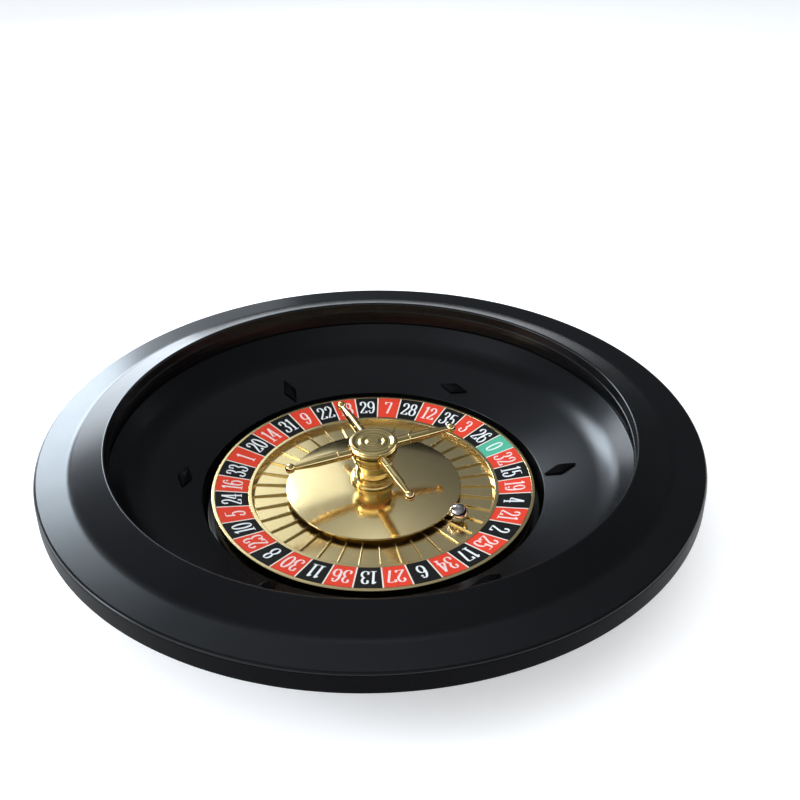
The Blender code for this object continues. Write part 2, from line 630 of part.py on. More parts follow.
def make_bearing():
    """Inner race on the spindle; balls in their cage and outer race in the hub. Returns what turns."""
    inner_bore_r = SPINDLE_R + SEAT
    race("bearing_inner_race", inner_bore_r, inner_bore_r + RACE_T, True)
    outer = race("bearing_outer_race", BEARING_R - RACE_T, BEARING_R, False)
    pitch_r = (inner_bore_r + BEARING_R) / 2
    middle = (BEARING_Z + BEARING_TOP_Z) / 2
    cage_outline = [(pitch_r + CAGE_T / 2, middle + CAGE_H / 2), (pitch_r + CAGE_T / 2, middle - CAGE_H / 2),
                    (pitch_r - CAGE_T / 2, middle - CAGE_H / 2), (pitch_r - CAGE_T / 2, middle + CAGE_H / 2)]
    cage = turned("bearing_balls", cage_outline, HUB_STEPS, steel("bearing_ball_steel"))
    small = bmesh.new()
    bmesh.ops.create_uvsphere(small, u_segments=BEARING_BALL_STEPS, v_segments=BEARING_BALL_RINGS,
                              radius=BEARING_BALL_R,
                              matrix=Matrix.Translation((0.0, 0.0, middle)))
    apply_boolean(cage, ring_of(small, BEARING_BALLS, pitch_r), "UNION")
    return [outer, cage]


def make_rotor_hub():
    """Flanged hub with the bearing's seat, small ribs and counterbored screw holes."""
    seat_r = BEARING_R + SEAT
    relief_r = BEARING_R + HUB_RELIEF
    barrel_r = seat_r + HUB_WALL
    shoulder_z = BEARING_Z - SEAT
    outline = [
        (STUD_HOLE_R, HUB_TOP_Z),
        (barrel_r, HUB_TOP_Z),
        (barrel_r, HUB_FLANGE_Z),
        (HUB_FLANGE_R, HUB_FLANGE_Z),
        (HUB_FLANGE_R, HUB_Z),
        (relief_r, HUB_Z),
        (relief_r, shoulder_z),
        (seat_r, shoulder_z),
        (seat_r, BEARING_TOP_Z + SEAT),
        (seat_r - HUB_LEDGE, BEARING_TOP_Z + SEAT),
        (seat_r - HUB_LEDGE, HUB_CEILING_Z),
        (STUD_HOLE_R, HUB_CEILING_Z),
    ]
    hub = turned("rotor_hub", outline, HUB_STEPS, black_abs("rotor_hub_abs"))
    rib_in_r = barrel_r - HUB_WALL / 2
    rib_out_r = barrel_r + HUB_RIB_REACH
    rib_top_z = HUB_TOP_Z - HUB_WALL
    low_z = HUB_FLANGE_Z - HUB_FLANGE_T / 2
    side = [(rib_in_r, low_z), (rib_in_r, rib_top_z), (barrel_r, rib_top_z), (rib_out_r, low_z)]
    rib = bmesh.new()
    face = rib.faces.new([rib.verts.new((x, -HUB_RIB_T / 2, z)) for x, z in side])
    grown = bmesh.ops.extrude_face_region(rib, geom=[face])
    moved = [item for item in grown["geom"] if isinstance(item, bmesh.types.BMVert)]
    bmesh.ops.translate(rib, verts=moved, vec=(0.0, HUB_RIB_T, 0.0))
    apply_boolean(hub, ring_of(rib, HUB_RIBS, 0.0), "UNION")
    head_z = HUB_Z + ROTOR_SCREW_HEAD_H + SEAT
    hole = spun([(0.0, HUB_FLANGE_Z + OVERRUN), (ROTOR_SCREW_R + SEAT, HUB_FLANGE_Z + OVERRUN),
                 (ROTOR_SCREW_R + SEAT, head_z), (ROTOR_SCREW_HEAD_R + SEAT, head_z),
                 (ROTOR_SCREW_HEAD_R + SEAT, HUB_Z - OVERRUN), (0.0, HUB_Z - OVERRUN)],
                SMALL_STEPS, closed=False)
    apply_boolean(hub, ring_of(hole, ROTOR_SCREWS, ROTOR_SCREW_PITCH_R), "DIFFERENCE")
    return hub


def separator():
    """One thin radial wall between two pockets, thicker at its foot, its top falling a little outwards."""
    in_r = CONE_R - FIN_UNDER_CONE
    foot_out_r = POCKET_OUT_R - POCKET_LEAN - SEAT
    top_out_r = POCKET_OUT_R - SEAT - SEAT
    foot_z = SEPARATOR_Z + FIN_FOOT_LIFT
    out_z = BEVEL_Z - FIN_DROP_OUT
    side = [(in_r, foot_z), (in_r, POCKET_Z + FIN_H_IN), (top_out_r, out_z),
            (foot_out_r, POCKET_OUT_Z + SEAT)]

    def half_thickness(height):
        """Both faces lean alike, from the foot's thickness to the top's thickness at the outer wall."""
        share = (height - foot_z) / (out_z - foot_z)
        return (FIN_FOOT_T + (FIN_T - FIN_FOOT_T) * share) / 2

    bm = bmesh.new()
    left = [bm.verts.new((r, half_thickness(z), z)) for r, z in side]
    right = [bm.verts.new((r, -half_thickness(z), z)) for r, z in side]
    bm.faces.new(left)
    bm.faces.new(right[::-1])
    for index in range(len(side)):
        after = (index + 1) % len(side)
        bm.faces.new((left[index], right[index], right[after], left[after]))
    return bm


def make_separator_ring():
    """All 37 separators on one thin web, which lies between the pocket plate and the cone's foot."""
    web_out_r = CONE_R - FIN_UNDER_CONE + FIN_ROOT
    web_top_z = SEPARATOR_Z + SEPARATOR_WEB_T
    outline = [(web_out_r, web_top_z), (web_out_r, SEPARATOR_Z), (WEB_IN_R, SEPARATOR_Z),
               (WEB_IN_R, web_top_z)]
    ring = turned("separator_ring", outline, POCKETS, gilt("separator_gilt", 0.2))
    apply_boolean(ring, ring_of(separator(), POCKETS, 0.0), "UNION")
    hole = rod(ROTOR_SCREW_R + SEAT, SEPARATOR_Z - OVERRUN, web_top_z + OVERRUN)
    apply_boolean(ring, ring_of(hole, ROTOR_SCREWS, ROTOR_SCREW_PITCH_R), "DIFFERENCE")
    return ring


def make_pocket_plate():
    """Dished plate that is the pockets' floor, held from below by the screws of cone and ring."""
    outline = [
        (PLATE_OUT_R, POCKET_OUT_Z),
        (POCKET_OUT_R - POCKET_LEAN, POCKET_OUT_Z),
        (CONE_R, POCKET_Z),
        (WEB_IN_R, POCKET_Z),
        (WEB_IN_R, WEB_Z),
        (CONE_R, WEB_Z),
        (POCKET_OUT_R - POCKET_LEAN, POCKET_OUT_Z - PLATE_T),
        (PLATE_OUT_R, POCKET_OUT_Z - PLATE_T),
    ]
    plate = turned("pocket_plate", outline, POCKETS, gilt("pocket_plate_gilt", 0.2))
    hole = rod(ROTOR_SCREW_R + SEAT, WEB_Z - OVERRUN, POCKET_OUT_Z + OVERRUN)
    holes = ring_of(hole, ROTOR_SCREWS, ROTOR_SCREW_PITCH_R)
    outer_hole = rod(ROTOR_SCREW_R + SEAT, WEB_Z - OVERRUN, POCKET_OUT_Z + OVERRUN)
    outer_holes = ring_of(outer_hole, RING_SCREWS, RING_SCREW_PITCH_R, math.pi / RING_SCREWS)
    merge(holes, outer_holes, Matrix.Identity(4))
    outer_holes.free()
    apply_boolean(plate, holes, "DIFFERENCE")
    return plate


def make_pocket_ring():
    """Gilt ring: outer border, bed for the numbers, bevelled border and the pockets' outer wall."""
    bed_under_z = CELL_IN_Z - RECESS_D - PLATE_T
    outline = [
        (ROTOR_R, RING_Z - RING_SKIRT_H),
        (ROTOR_R, RING_Z - RING_EDGE),
        (ROTOR_R - RING_EDGE, RING_Z),
        (CELL_OUT_R, RING_Z),
        (CELL_OUT_R, RING_Z - RECESS_D),
        (CELL_IN_R, CELL_IN_Z - RECESS_D),
        (CELL_IN_R, CELL_IN_Z),
        (BEVEL_OUT_R, CELL_IN_Z),
        (POCKET_OUT_R, BEVEL_Z),
        (POCKET_OUT_R - POCKET_LEAN, POCKET_OUT_Z + SEAT),
        (POCKET_OUT_R - POCKET_LEAN + PLATE_T, POCKET_OUT_Z + SEAT),
        (POCKET_OUT_R + PLATE_T, BEVEL_Z - PLATE_T),
        (CELL_IN_R + PLATE_T, bed_under_z),
        (ROTOR_R - PLATE_T, bed_under_z + CELL_RISE),
        (ROTOR_R - PLATE_T, RING_Z - RING_SKIRT_H),
    ]
    ring = turned("pocket_ring", outline, POCKETS, gilt("pocket_ring_gilt", 0.2))
    climb = (RING_SCREW_PITCH_R + RING_BOSS_R - CELL_IN_R) * CELL_RISE / CELL_L
    boss = rod(RING_BOSS_R, POCKET_OUT_Z + SEAT, bed_under_z + climb + PLATE_T / 4)
    turn = math.pi / RING_SCREWS
    apply_boolean(ring, ring_of(boss, RING_SCREWS, RING_SCREW_PITCH_R, turn), "UNION")
    foot_z = POCKET_OUT_Z + SEAT
    hole = rod(ROTOR_SCREW_R + SEAT, foot_z - OVERRUN, foot_z + RING_SCREW_GRIP + SEAT)
    apply_boolean(ring, ring_of(hole, RING_SCREWS, RING_SCREW_PITCH_R, turn), "DIFFERENCE")
    return ring


def make_number_ring():
    """Printed ring of 37 cells, flush between the two borders."""
    outer_r = CELL_OUT_R - SEAT
    inner_r = CELL_IN_R + SEAT
    slope = CELL_RISE / CELL_L
    outer_z = RING_Z - SEAT * slope
    inner_z = CELL_IN_Z + SEAT * slope
    outline = [(outer_r, outer_z), (outer_r, outer_z - NUMBER_T), (inner_r, inner_z - NUMBER_T),
               (inner_r, inner_z)]
    return turned("number_ring", outline, POCKETS, material("printed_card", (0.5, 0.05, 0.03), 0.4, 0.0))


def cone_height(radius):
    """Top of the cone: a shallow crown that falls with the square of the radius."""
    span = CONE_R ** 2 - TURRET_BASE_R ** 2
    return CONE_Z - CONE_RISE * (radius ** 2 - TURRET_BASE_R ** 2) / span


def make_cone():
    """Gilt dome over the middle, on a foot ring that its screws bite in."""
    edge_r = CONE_R - CONE_ROUND
    foot_in_r = CONE_FOOT_R - CONE_FOOT_W
    top = [(STUD_HOLE_R, CONE_Z), (TURRET_BASE_R, CONE_Z)]
    for index in range(1, CONE_POINTS + 1):
        radius = TURRET_BASE_R + (edge_r - TURRET_BASE_R) * index / CONE_POINTS
        top.append((radius, cone_height(radius)))
    outline = top + [
        (CONE_R, CONE_EDGE_Z - CONE_ROUND),
        (CONE_R - CONE_ROUND / 2, CONE_EDGE_Z - CONE_T),
        (CONE_FOOT_R, cone_height(CONE_FOOT_R) - CONE_T),
        (CONE_FOOT_R, CONE_FOOT_Z),
        (foot_in_r, CONE_FOOT_Z),
        (foot_in_r, cone_height(foot_in_r) - CONE_T),
        (TURRET_BASE_R, CONE_Z - CONE_T),
        (STUD_HOLE_R, CONE_Z - CONE_T),
    ]
    cone = turned("cone", outline, CONE_STEPS, gilt("cone_gilt", 0.18))
    hole = rod(ROTOR_SCREW_R + SEAT, CONE_FOOT_Z - OVERRUN, CONE_FOOT_Z + ROTOR_SCREW_GRIP + SEAT)
    apply_boolean(cone, ring_of(hole, ROTOR_SCREWS, ROTOR_SCREW_PITCH_R), "DIFFERENCE")
    return cone


def make_turret():
    """Base flange, waisted column with its bead and hub, dished cap and the stud through them."""
    base_outline = [(STUD_HOLE_R, TURRET_Z + TURRET_BASE_H), (NECK_R, TURRET_Z + TURRET_BASE_H)]
    base_outline += scaled(BASE_SHARES, TURRET_BASE_R, TURRET_Z, TURRET_BASE_H)
    base_outline.append((STUD_HOLE_R, TURRET_Z))
    base = turned("turret_base", base_outline, TURRET_STEPS, gilt("turret_base_gilt"))
    waist_r = NECK_R - SEAT
    column_outline = [(STUD_HOLE_R, COLUMN_TOP_Z)]
    column_outline += scaled(HUB_SHARES, TURRET_HUB_R, TURRET_HUB_Z, TURRET_HUB_H)
    column_outline.append((NECK_R, TURRET_HUB_Z))
    column_outline += scaled(BEAD_SHARES, BEAD_R, BEAD_Z, BEAD_H)
    column_outline += [(NECK_R, BEAD_Z), (waist_r, COLUMN_Z + NECK_H / 2), (NECK_R, COLUMN_Z),
                       (STUD_HOLE_R, COLUMN_Z)]
    column = turned("turret_column", column_outline, TURRET_STEPS, gilt("turret_column_gilt"))
    peg_hole = rod(ARM_PEG_R + SEAT, TURRET_HUB_R - ARM_PEG_L - SEAT, TURRET_HUB_R + OVERRUN)
    bmesh.ops.rotate(peg_hole, verts=peg_hole.verts, matrix=Matrix.Rotation(math.pi / 2, 3, "Y"))
    bmesh.ops.translate(peg_hole, verts=peg_hole.verts, vec=(0.0, 0.0, ARM_Z))
    apply_boolean(column, ring_of(peg_hole, ARMS, 0.0, ARM_AZIMUTH), "DIFFERENCE")
    hole_top_z = CAP_Z + CAP_BITE
    top_z = CAP_Z + CAP_H
    cap_outline = [(0.0, top_z)] + scaled(CAP_TOP_SHARES, CAP_R, top_z, -CAP_DISH)
    cap_outline += scaled(CAP_EDGE_SHARES, CAP_R, CAP_Z, CAP_H)
    cap_outline += [(STUD_HOLE_R, CAP_Z), (STUD_HOLE_R, hole_top_z), (0.0, hole_top_z)]
    cap = turned("turret_cap", cap_outline, TURRET_STEPS, gilt("turret_cap_gilt", 0.12), closed=False)
    stud_top_z = hole_top_z - SEAT
    stud = mesh_object("turret_stud", rod(STUD_R, HUB_CEILING_Z, stud_top_z, HUB_STEPS // 2),
                       steel("turret_stud_steel"))
    return [base, column, cap, stud]


def make_arms():
    """Spokes: a peg in the hub, a plain root, a groove, a barrel, a taper and a ball end."""
    root_end = ARM_ROOT_X + ARM_ROOT_L
    barrel_start = root_end + ARM_GROOVE_W
    taper_start = barrel_start + ARM_BARREL_L
    neck_x = taper_start + ARM_TAPER_L
    tip_x = neck_x + math.sqrt(ARM_TIP_R ** 2 - ARM_NECK_R ** 2)
    neck_angle = math.asin(ARM_NECK_R / ARM_TIP_R)
    outline = [
        (0.0, TURRET_HUB_R - ARM_PEG_L),
        (ARM_PEG_R, TURRET_HUB_R - ARM_PEG_L),
        (ARM_PEG_R, ARM_ROOT_X),
        (ARM_ROOT_R, ARM_ROOT_X),
        (ARM_ROOT_R, root_end),
        (ARM_GROOVE_R, root_end + ARM_GROOVE_W / 2),
        (ARM_BARREL_R, barrel_start),
        (ARM_BARREL_R, taper_start),
        (ARM_NECK_R, neck_x),
    ]
    for index in range(1, ARM_TIP_POINTS + 1):
        angle = neck_angle + (math.pi - neck_angle) * index / ARM_TIP_POINTS
        outline.append((ARM_TIP_R * math.sin(angle), tip_x - ARM_TIP_R * math.cos(angle)))
    outline[-1] = (0.0, tip_x + ARM_TIP_R)
    arms = []
    for index in range(ARMS):
        bm = spun(outline, SMALL_STEPS, closed=False)
        bmesh.ops.rotate(bm, verts=bm.verts, matrix=Matrix.Rotation(math.pi / 2, 3, "Y"))
        arm = mesh_object(f"arm_{index + 1}", bm, gilt(f"arm_{index + 1}_gilt", 0.12))
        arm.location = (0.0, 0.0, ARM_Z)
        arm.rotation_euler.z = ARM_AZIMUTH + index * math.tau / ARMS
        arms.append(arm)
    return arms


def screws(name, count, pitch_r, start, head_z, head_r, head_h, shank_r, end_z):
    """Pan-head screws that point up, on a circle."""
    chamfer = head_h * HEAD_CHAMFER_SHARE
    outline = [(0.0, end_z), (shank_r, end_z - shank_r), (shank_r, head_z + head_h),
               (head_r, head_z + head_h), (head_r, head_z + chamfer), (head_r - chamfer, head_z),
               (0.0, head_z)]
    made = []
    for index in range(count):
        screw = turned(f"{name}_{index + 1}", outline, SCREW_STEPS, steel(f"{name}_{index + 1}_steel"),
                       closed=False)
        azimuth = start + index * math.tau / count
        screw.location = (pitch_r * math.cos(azimuth), pitch_r * math.sin(azimuth), 0.0)
        made.append(screw)
    return made


def make_ball():
    """Steel ball at rest on the tops of two separators, under an empty that marks its way out."""
    azimuth = (BALL_POCKET + 0.5) * math.tau / POCKETS
    fall = POCKET_Z + FIN_H_IN - BEVEL_Z + FIN_DROP_OUT
    top_z = POCKET_Z + FIN_H_IN - fall * (BALL_FROM_CONE + FIN_UNDER_CONE) / (POCKET_L + FIN_UNDER_CONE)
    half_gap = BALL_PITCH_R * math.sin(math.pi / POCKETS) - FIN_T / 2
    rest_z = top_z + math.sqrt((BALL_R + SEAT) ** 2 - half_gap ** 2)
    centre = (BALL_PITCH_R * math.cos(azimuth), BALL_PITCH_R * math.sin(azimuth), rest_z)
    bm = bmesh.new()
    bmesh.ops.create_uvsphere(bm, u_segments=BALL_STEPS, v_segments=BALL_RINGS, radius=BALL_R)
    ball = mesh_object("ball", bm, material("ball_steel", (0.65, 0.66, 0.68), 0.08, 1.0),
                       crease=math.radians(60.0))
    carry([ball], "ball_path", centre)
    return ball


def carry(pieces, name, place):
    """Parent pieces to an empty, which marks the joint that they move on."""
    empty = bpy.data.objects.new(name, None)
    empty.location = place
    bpy.context.collection.objects.link(empty)
    for piece in pieces:
        piece.parent = empty


def build():
    for obj in list(bpy.data.objects):
        bpy.data.objects.remove(obj, do_unlink=True)
    make_bowl()
    make_rim()
    make_deflectors()
    make_feet()
    make_spindle()
    screws("rim_screw", RIM_SCREWS, RIM_BOSS_PITCH_R, math.pi / RIM_SCREWS,
           FLANGE_UNDER_Z - SEAT - RIM_SCREW_HEAD_H, RIM_SCREW_HEAD_R, RIM_SCREW_HEAD_H, RIM_SCREW_R,
           RIM_FOOT_Z + RIM_SCREW_GRIP)
    rotor = make_bearing()
    rotor.append(make_rotor_hub())
    rotor.append(make_pocket_plate())
    rotor.append(make_pocket_ring())
    rotor.append(make_separator_ring())
    rotor.append(make_number_ring())
    rotor.append(make_cone())
    rotor += make_turret()
    rotor += make_arms()
    rotor += screws("rotor_screw", ROTOR_SCREWS, ROTOR_SCREW_PITCH_R, 0.0, HUB_Z, ROTOR_SCREW_HEAD_R,
                    ROTOR_SCREW_HEAD_H, ROTOR_SCREW_R, CONE_FOOT_Z + ROTOR_SCREW_GRIP)
    rotor += screws("ring_screw", RING_SCREWS, RING_SCREW_PITCH_R, math.pi / RING_SCREWS,
                    POCKET_OUT_Z - PLATE_T - SEAT - ROTOR_SCREW_HEAD_H, ROTOR_SCREW_HEAD_R,
                    ROTOR_SCREW_HEAD_H, ROTOR_SCREW_R, POCKET_OUT_Z + SEAT + RING_SCREW_GRIP)
    carry(rotor, "rotor_axis", (0.0, 0.0, 0.0))
    make_ball()


build()
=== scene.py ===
# %% [markdown]
# # A roulette wheel under window light
#
# The real wheel is a moulded black bowl with a gilt rotor in it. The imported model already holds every
# piece at its real size, with few facets. This file gives each visible piece a fine surface that fits the
# same space, gives every piece its finish, and sets up the floor, the light and the camera. Sizes are in
# millimetres and turned to metres once, where a mesh is made.

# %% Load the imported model
import math

import bpy
import numpy as np
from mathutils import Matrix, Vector


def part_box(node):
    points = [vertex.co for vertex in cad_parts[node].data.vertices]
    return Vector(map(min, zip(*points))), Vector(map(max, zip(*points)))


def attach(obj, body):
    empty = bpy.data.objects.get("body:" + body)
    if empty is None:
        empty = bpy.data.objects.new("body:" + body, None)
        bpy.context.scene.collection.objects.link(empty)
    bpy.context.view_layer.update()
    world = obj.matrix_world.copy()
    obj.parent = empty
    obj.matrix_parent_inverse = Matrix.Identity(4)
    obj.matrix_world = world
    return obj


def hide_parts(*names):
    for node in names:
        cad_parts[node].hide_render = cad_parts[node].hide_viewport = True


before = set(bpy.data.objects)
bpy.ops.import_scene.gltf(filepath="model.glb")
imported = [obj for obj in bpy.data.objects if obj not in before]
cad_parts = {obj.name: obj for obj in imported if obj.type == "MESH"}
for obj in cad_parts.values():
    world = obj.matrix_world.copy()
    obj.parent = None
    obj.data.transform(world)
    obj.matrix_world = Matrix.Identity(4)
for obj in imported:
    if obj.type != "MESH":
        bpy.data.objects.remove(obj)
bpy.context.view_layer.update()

# %% [markdown]
# ## Helpers for shapes
#
# Almost everything here was turned on a lathe or moulded as a turned shape, so one outline and one
# function that carries it round the axis make most of the pieces. Blender's Screw modifier or bmesh spin
# could do this too. Whole numpy arrays are faster, and they leave the mesh with its place in its points,
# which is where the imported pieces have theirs.

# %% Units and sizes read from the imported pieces
MM = 0.001
FULL_TURN = 2 * math.pi


def box_of(node):
    """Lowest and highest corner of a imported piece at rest, in millimetres."""
    low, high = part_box(node)
    return np.array(low) / MM, np.array(high) / MM


# %% Outlines with rounded corners
ARC_STEP = math.radians(11)   # one facet of a rounding turns by at most this
BESIDE = 0.25                 # a point this far beyond each rounding keeps the flat face beside it flat


def rounded(corners):
    """Closed outline from corners (radius, height, rounding), as an array of (radius, height) points.

    A rounding is an arc tangent to both sides of its corner. Its centre lies on the line that halves the
    corner's angle, and its points come from turning one side's normal evenly into the other's.
    """
    place = np.array([corner[:2] for corner in corners], float)
    sizes = [corner[2] for corner in corners]
    back = np.roll(place, 1, axis=0) - place
    ahead = np.roll(place, -1, axis=0) - place
    back_l = np.linalg.norm(back, axis=1)
    ahead_l = np.linalg.norm(ahead, axis=1)
    back = back / back_l[:, None]
    ahead = ahead / ahead_l[:, None]
    half = np.arccos(np.clip((back * ahead).sum(axis=1), -1, 1)) / 2
    reach = np.minimum(np.array(sizes) / np.tan(half), 0.45 * np.minimum(back_l, ahead_l))
    free_back = back_l - reach - np.roll(reach, 1)
    free_ahead = ahead_l - reach - np.roll(reach, -1)
    points = []
    for i, size in enumerate(sizes):
        if size == 0:
            points.append(place[i:i + 1])
            continue
        middle = (back[i] + ahead[i]) / np.linalg.norm(back[i] + ahead[i])
        radius = reach[i] * math.tan(half[i])
        centre = place[i] + middle * radius / math.sin(half[i])
        start = place[i] + back[i] * reach[i]
        end = place[i] + ahead[i] * reach[i]
        turn = math.pi - 2 * half[i]
        share = np.linspace(0, 1, max(3, math.ceil(turn / ARC_STEP) + 1))[:, None]
        arc = np.sin((1 - share) * turn) * (start - centre) + np.sin(share * turn) * (end - centre)
        lead = start + back[i] * min(BESIDE, free_back[i] / 3)
        trail = end + ahead[i] * min(BESIDE, free_ahead[i] / 3)
        points += [lead[None], centre + arc / math.sin(turn), trail[None]]
    return np.concatenate(points)


# %% Surfaces of revolution and closed prisms
def turned(outline, steps):
    """Points and faces of an outline carried round the Z axis, as a closed ring or a closed solid.

    A point at (radius, height) goes to radius * (cos a, sin a) and height, for evenly spaced angles a.
    An outline that starts and ends on the axis is closed there with one point each.
    """
    outline = np.asarray(outline, float)
    r, z = outline.T
    area = (r * np.roll(z, -1) - np.roll(r, -1) * z).sum()
    if area < 0:
        outline = outline[::-1]
        r, z = outline.T
    angle = np.arange(steps) * FULL_TURN / steps
    poles = r[0] == 0 and r[-1] == 0
    ring = slice(1, -1) if poles else slice(None)
    r, z = r[ring], z[ring]
    count = len(r)
    grid = np.empty((steps, count, 3))
    grid[..., 0] = np.cos(angle)[:, None] * r
    grid[..., 1] = np.sin(angle)[:, None] * r
    grid[..., 2] = z
    k = np.arange(steps)[:, None]
    after = (k + 1) % steps
    j = np.arange(count - 1 if poles else count)[None]
    up = (j + 1) % count
    faces = np.stack([k * count + j, after * count + j, after * count + up, k * count + up], axis=-1)
    faces = faces.reshape(-1, 4).tolist()
    points = grid.reshape(-1, 3)
    if poles:
        first, last = len(points), len(points) + 1
        points = np.vstack([points, [0, 0, outline[0, 1]], [0, 0, outline[-1, 1]]])
        k, after = k[:, 0], after[:, 0]
        start_cap = np.stack([np.full(steps, first), after * count, k * count], axis=-1)
        end_cap = np.stack([k * count + count - 1, after * count + count - 1, np.full(steps, last)], axis=-1)
        faces += start_cap.tolist() + end_cap.tolist()
    return points, faces


def prism(section, low, high):
    """Points and faces of a flat outline of (x, y) points raised from one height to another."""
    section = np.asarray(section, float)
    x, y = section.T
    if (x * np.roll(y, -1) - np.roll(x, -1) * y).sum() < 0:
        section = section[::-1]
    count = len(section)
    bottom = np.column_stack([section, np.full(count, low)])
    top = np.column_stack([section, np.full(count, high)])
    i = np.arange(count)
    after = (i + 1) % count
    walls = np.stack([i, after, after + count, i + count], axis=-1).tolist()
    return np.vstack([bottom, top]), walls + [i[::-1].tolist(), (i + count).tolist()]


def merged(parts):
    """One list of points and one of faces from several, each face's numbers moved on past the last."""
    points, faces, start = [], [], 0
    for part_points, part_faces in parts:
        points.append(part_points)
        faces += [[number + start for number in face] for face in part_faces]
        start += len(part_points)
    return np.vstack(points), faces


def about_z(points, azimuth):
    """Points turned about the Z axis by an angle in radians."""
    c, s = math.cos(azimuth), math.sin(azimuth)
    return points @ np.array([[c, s, 0], [-s, c, 0], [0, 0, 1]])


def copies(shape, count, first=0.0):
    """Copies of points and faces, evenly spread about the Z axis from a first angle."""
    points, faces = shape
    return [(about_z(points, first + i * FULL_TURN / count), faces) for i in range(count)]


# %% From points to a piece that rides on the wheel
def piece(name, shape, finish, body, slot, *nodes, crease=32.0):
    """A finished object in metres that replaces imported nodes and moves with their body."""
    points, faces = shape
    mesh = bpy.data.meshes.new(name)
    mesh.from_pydata((np.asarray(points) * MM).tolist(), [], faces)
    mesh.validate()
    mesh.shade_smooth()
    mesh.set_sharp_from_angle(angle=math.radians(crease))
    mesh.materials.append(finish)
    obj = bpy.data.objects.new(name, mesh)
    bpy.context.scene.collection.objects.link(obj)
    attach(obj, body)
    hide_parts(*nodes)
    print(f"{name}: {len(mesh.polygons)} faces")
    return obj


# %% [markdown]
# ## Helpers for finishes
#
# A finish is a small network of nodes that ends in one Principled shader. Patterns read Object
# coordinates, which here are the wheel's own metres, so a pattern's scale can be worked out from a real
# size. Colours are written as the hex values that a paint card would show, and one function turns them
# to the linear numbers that the shader wants.

# %% Colours and nodes
def linear(hex_colour):
    """Linear RGBA of an sRGB hex colour."""
    share = np.array([int(hex_colour[i:i + 2], 16) for i in (1, 3, 5)]) / 255
    value = np.where(share <= 0.04045, share / 12.92, ((share + 0.055) / 1.055) ** 2.4)
    return (*value.tolist(), 1.0)


def add(tree, kind, inputs=None, **settings):
    """Adds a node. Settings are its properties, and an input is a value or another node's output."""
    node = tree.nodes.new("ShaderNode" + kind)
    for name, value in settings.items():
        setattr(node, name, value)
    for name, value in (inputs or {}).items():
        if isinstance(value, bpy.types.NodeSocket):
            tree.links.new(value, node.inputs[name])
        else:
            node.inputs[name].default_value = value
    return node


def new_finish(name, **values):
    """A material with one Principled shader, whose sockets get the values that are the same all over."""
    finish = bpy.data.materials.new(name)
    finish.use_nodes = True
    tree = finish.node_tree
    tree.nodes.clear()
    shader = add(tree, "BsdfPrincipled", {key.replace("_", " "): value for key, value in values.items()})
    add(tree, "OutputMaterial", {"Surface": shader.outputs["BSDF"]})
    place = add(tree, "TexCoord").outputs["Object"]
    print("finish:", name)
    return finish, tree, shader, place


def calc(tree, operation, *values):
    """Result of a Math node. A value is a number or another node's output."""
    return add(tree, "Math", dict(enumerate(values)), operation=operation).outputs[0]


def from_axis(tree, place):
    """Distance from the Z axis."""
    flat = add(tree, "VectorMath", {0: place, 1: (1.0, 1.0, 0.0)}, operation="MULTIPLY").outputs[0]
    return add(tree, "VectorMath", {0: flat}, operation="LENGTH").outputs["Value"]


def grain(tree, place, size_mm, detail=2.0):
    """Noise whose lumps are about the given size in millimetres."""
    noise = add(tree, "TexNoise", {"Vector": place, "Scale": 1 / (size_mm * MM), "Detail": detail})
    return noise.outputs["Fac"]


def between(tree, factor, low, high):
    """Maps a factor of 0.3 to 0.7, which is most of a noise, to a range of values."""
    return add(tree, "MapRange", {"Value": factor, "From Min": 0.3, "From Max": 0.7,
                                  "To Min": low, "To Max": high}).outputs["Result"]


def coloured(tree, shader, factor, first, second):
    """Gives the shader a base colour that a factor mixes from two hex colours."""
    mix = add(tree, "MixRGB", {"Fac": factor, "Color1": linear(first), "Color2": linear(second)})
    tree.links.new(mix.outputs["Color"], shader.inputs["Base Color"])


def bumped(tree, shader, height, depth_mm, strength=1.0):
    """Gives the shader a bump whose height of 1 stands for a real depth in millimetres."""
    bump = add(tree, "Bump", {"Height": height, "Distance": depth_mm * MM, "Strength": strength})
    tree.links.new(bump.outputs["Normal"], shader.inputs["Normal"])


# %% [markdown]
# ### Black ABS
#
# Bowl and rim are injection moulded ABS, black all through, from a mould with a fine satin texture. It
# gives a soft sheen that follows the light, a near black colour elsewhere and, at the rim's far side,
# where the eye grazes it, a grey veil. The texture's grit is about 0.1 mm and would vanish in the
# picture, so its bump is drawn at 0.6 mm, and a slow variation of the gloss stands for handling. The
# deflectors and the skirt mirror the room far less in the photograph, so each gets a duller variant. The
# hub is hidden and gets a plain one.

# %% Black ABS
GRIT_MM = 0.6
HANDLING_MM = 45.0


def black_abs(name, gloss_low, gloss_high, sheen=0.32):
    """Moulded black ABS with a roughness between two values."""
    finish, tree, shader, place = new_finish(name, Specular_IOR_Level=sheen)
    coloured(tree, shader, grain(tree, place, HANDLING_MM), "#070708", "#0a0a0c")
    wear = between(tree, grain(tree, place, HANDLING_MM, 6.0), gloss_low, gloss_high)
    tree.links.new(wear, shader.inputs["Roughness"])
    bumped(tree, shader, grain(tree, place, GRIT_MM), 0.006)
    return finish


satin_abs = black_abs("satin_black_abs", 0.2, 0.24)
dull_abs = black_abs("duller_black_abs", 0.5, 0.6, sheen=0.05)
hub_abs = black_abs("plain_black_abs", 0.42, 0.5)
skirt_abs = black_abs("spark_textured_black_abs", 0.34, 0.4, sheen=0.03)

# %% [markdown]
# ### Gilt plating
#
# The rotor's plate, ring and cone are pressed or turned metal with a pale brass plating. The cone was
# spun on a lathe, so its fine marks run round the axis and draw the light into a hazy streak. The turret
# and its spokes are turned brass, polished and lacquered, with a deeper yellow. A metal's colour is the
# colour of its reflection, so the hex value is what white light would look like in it.

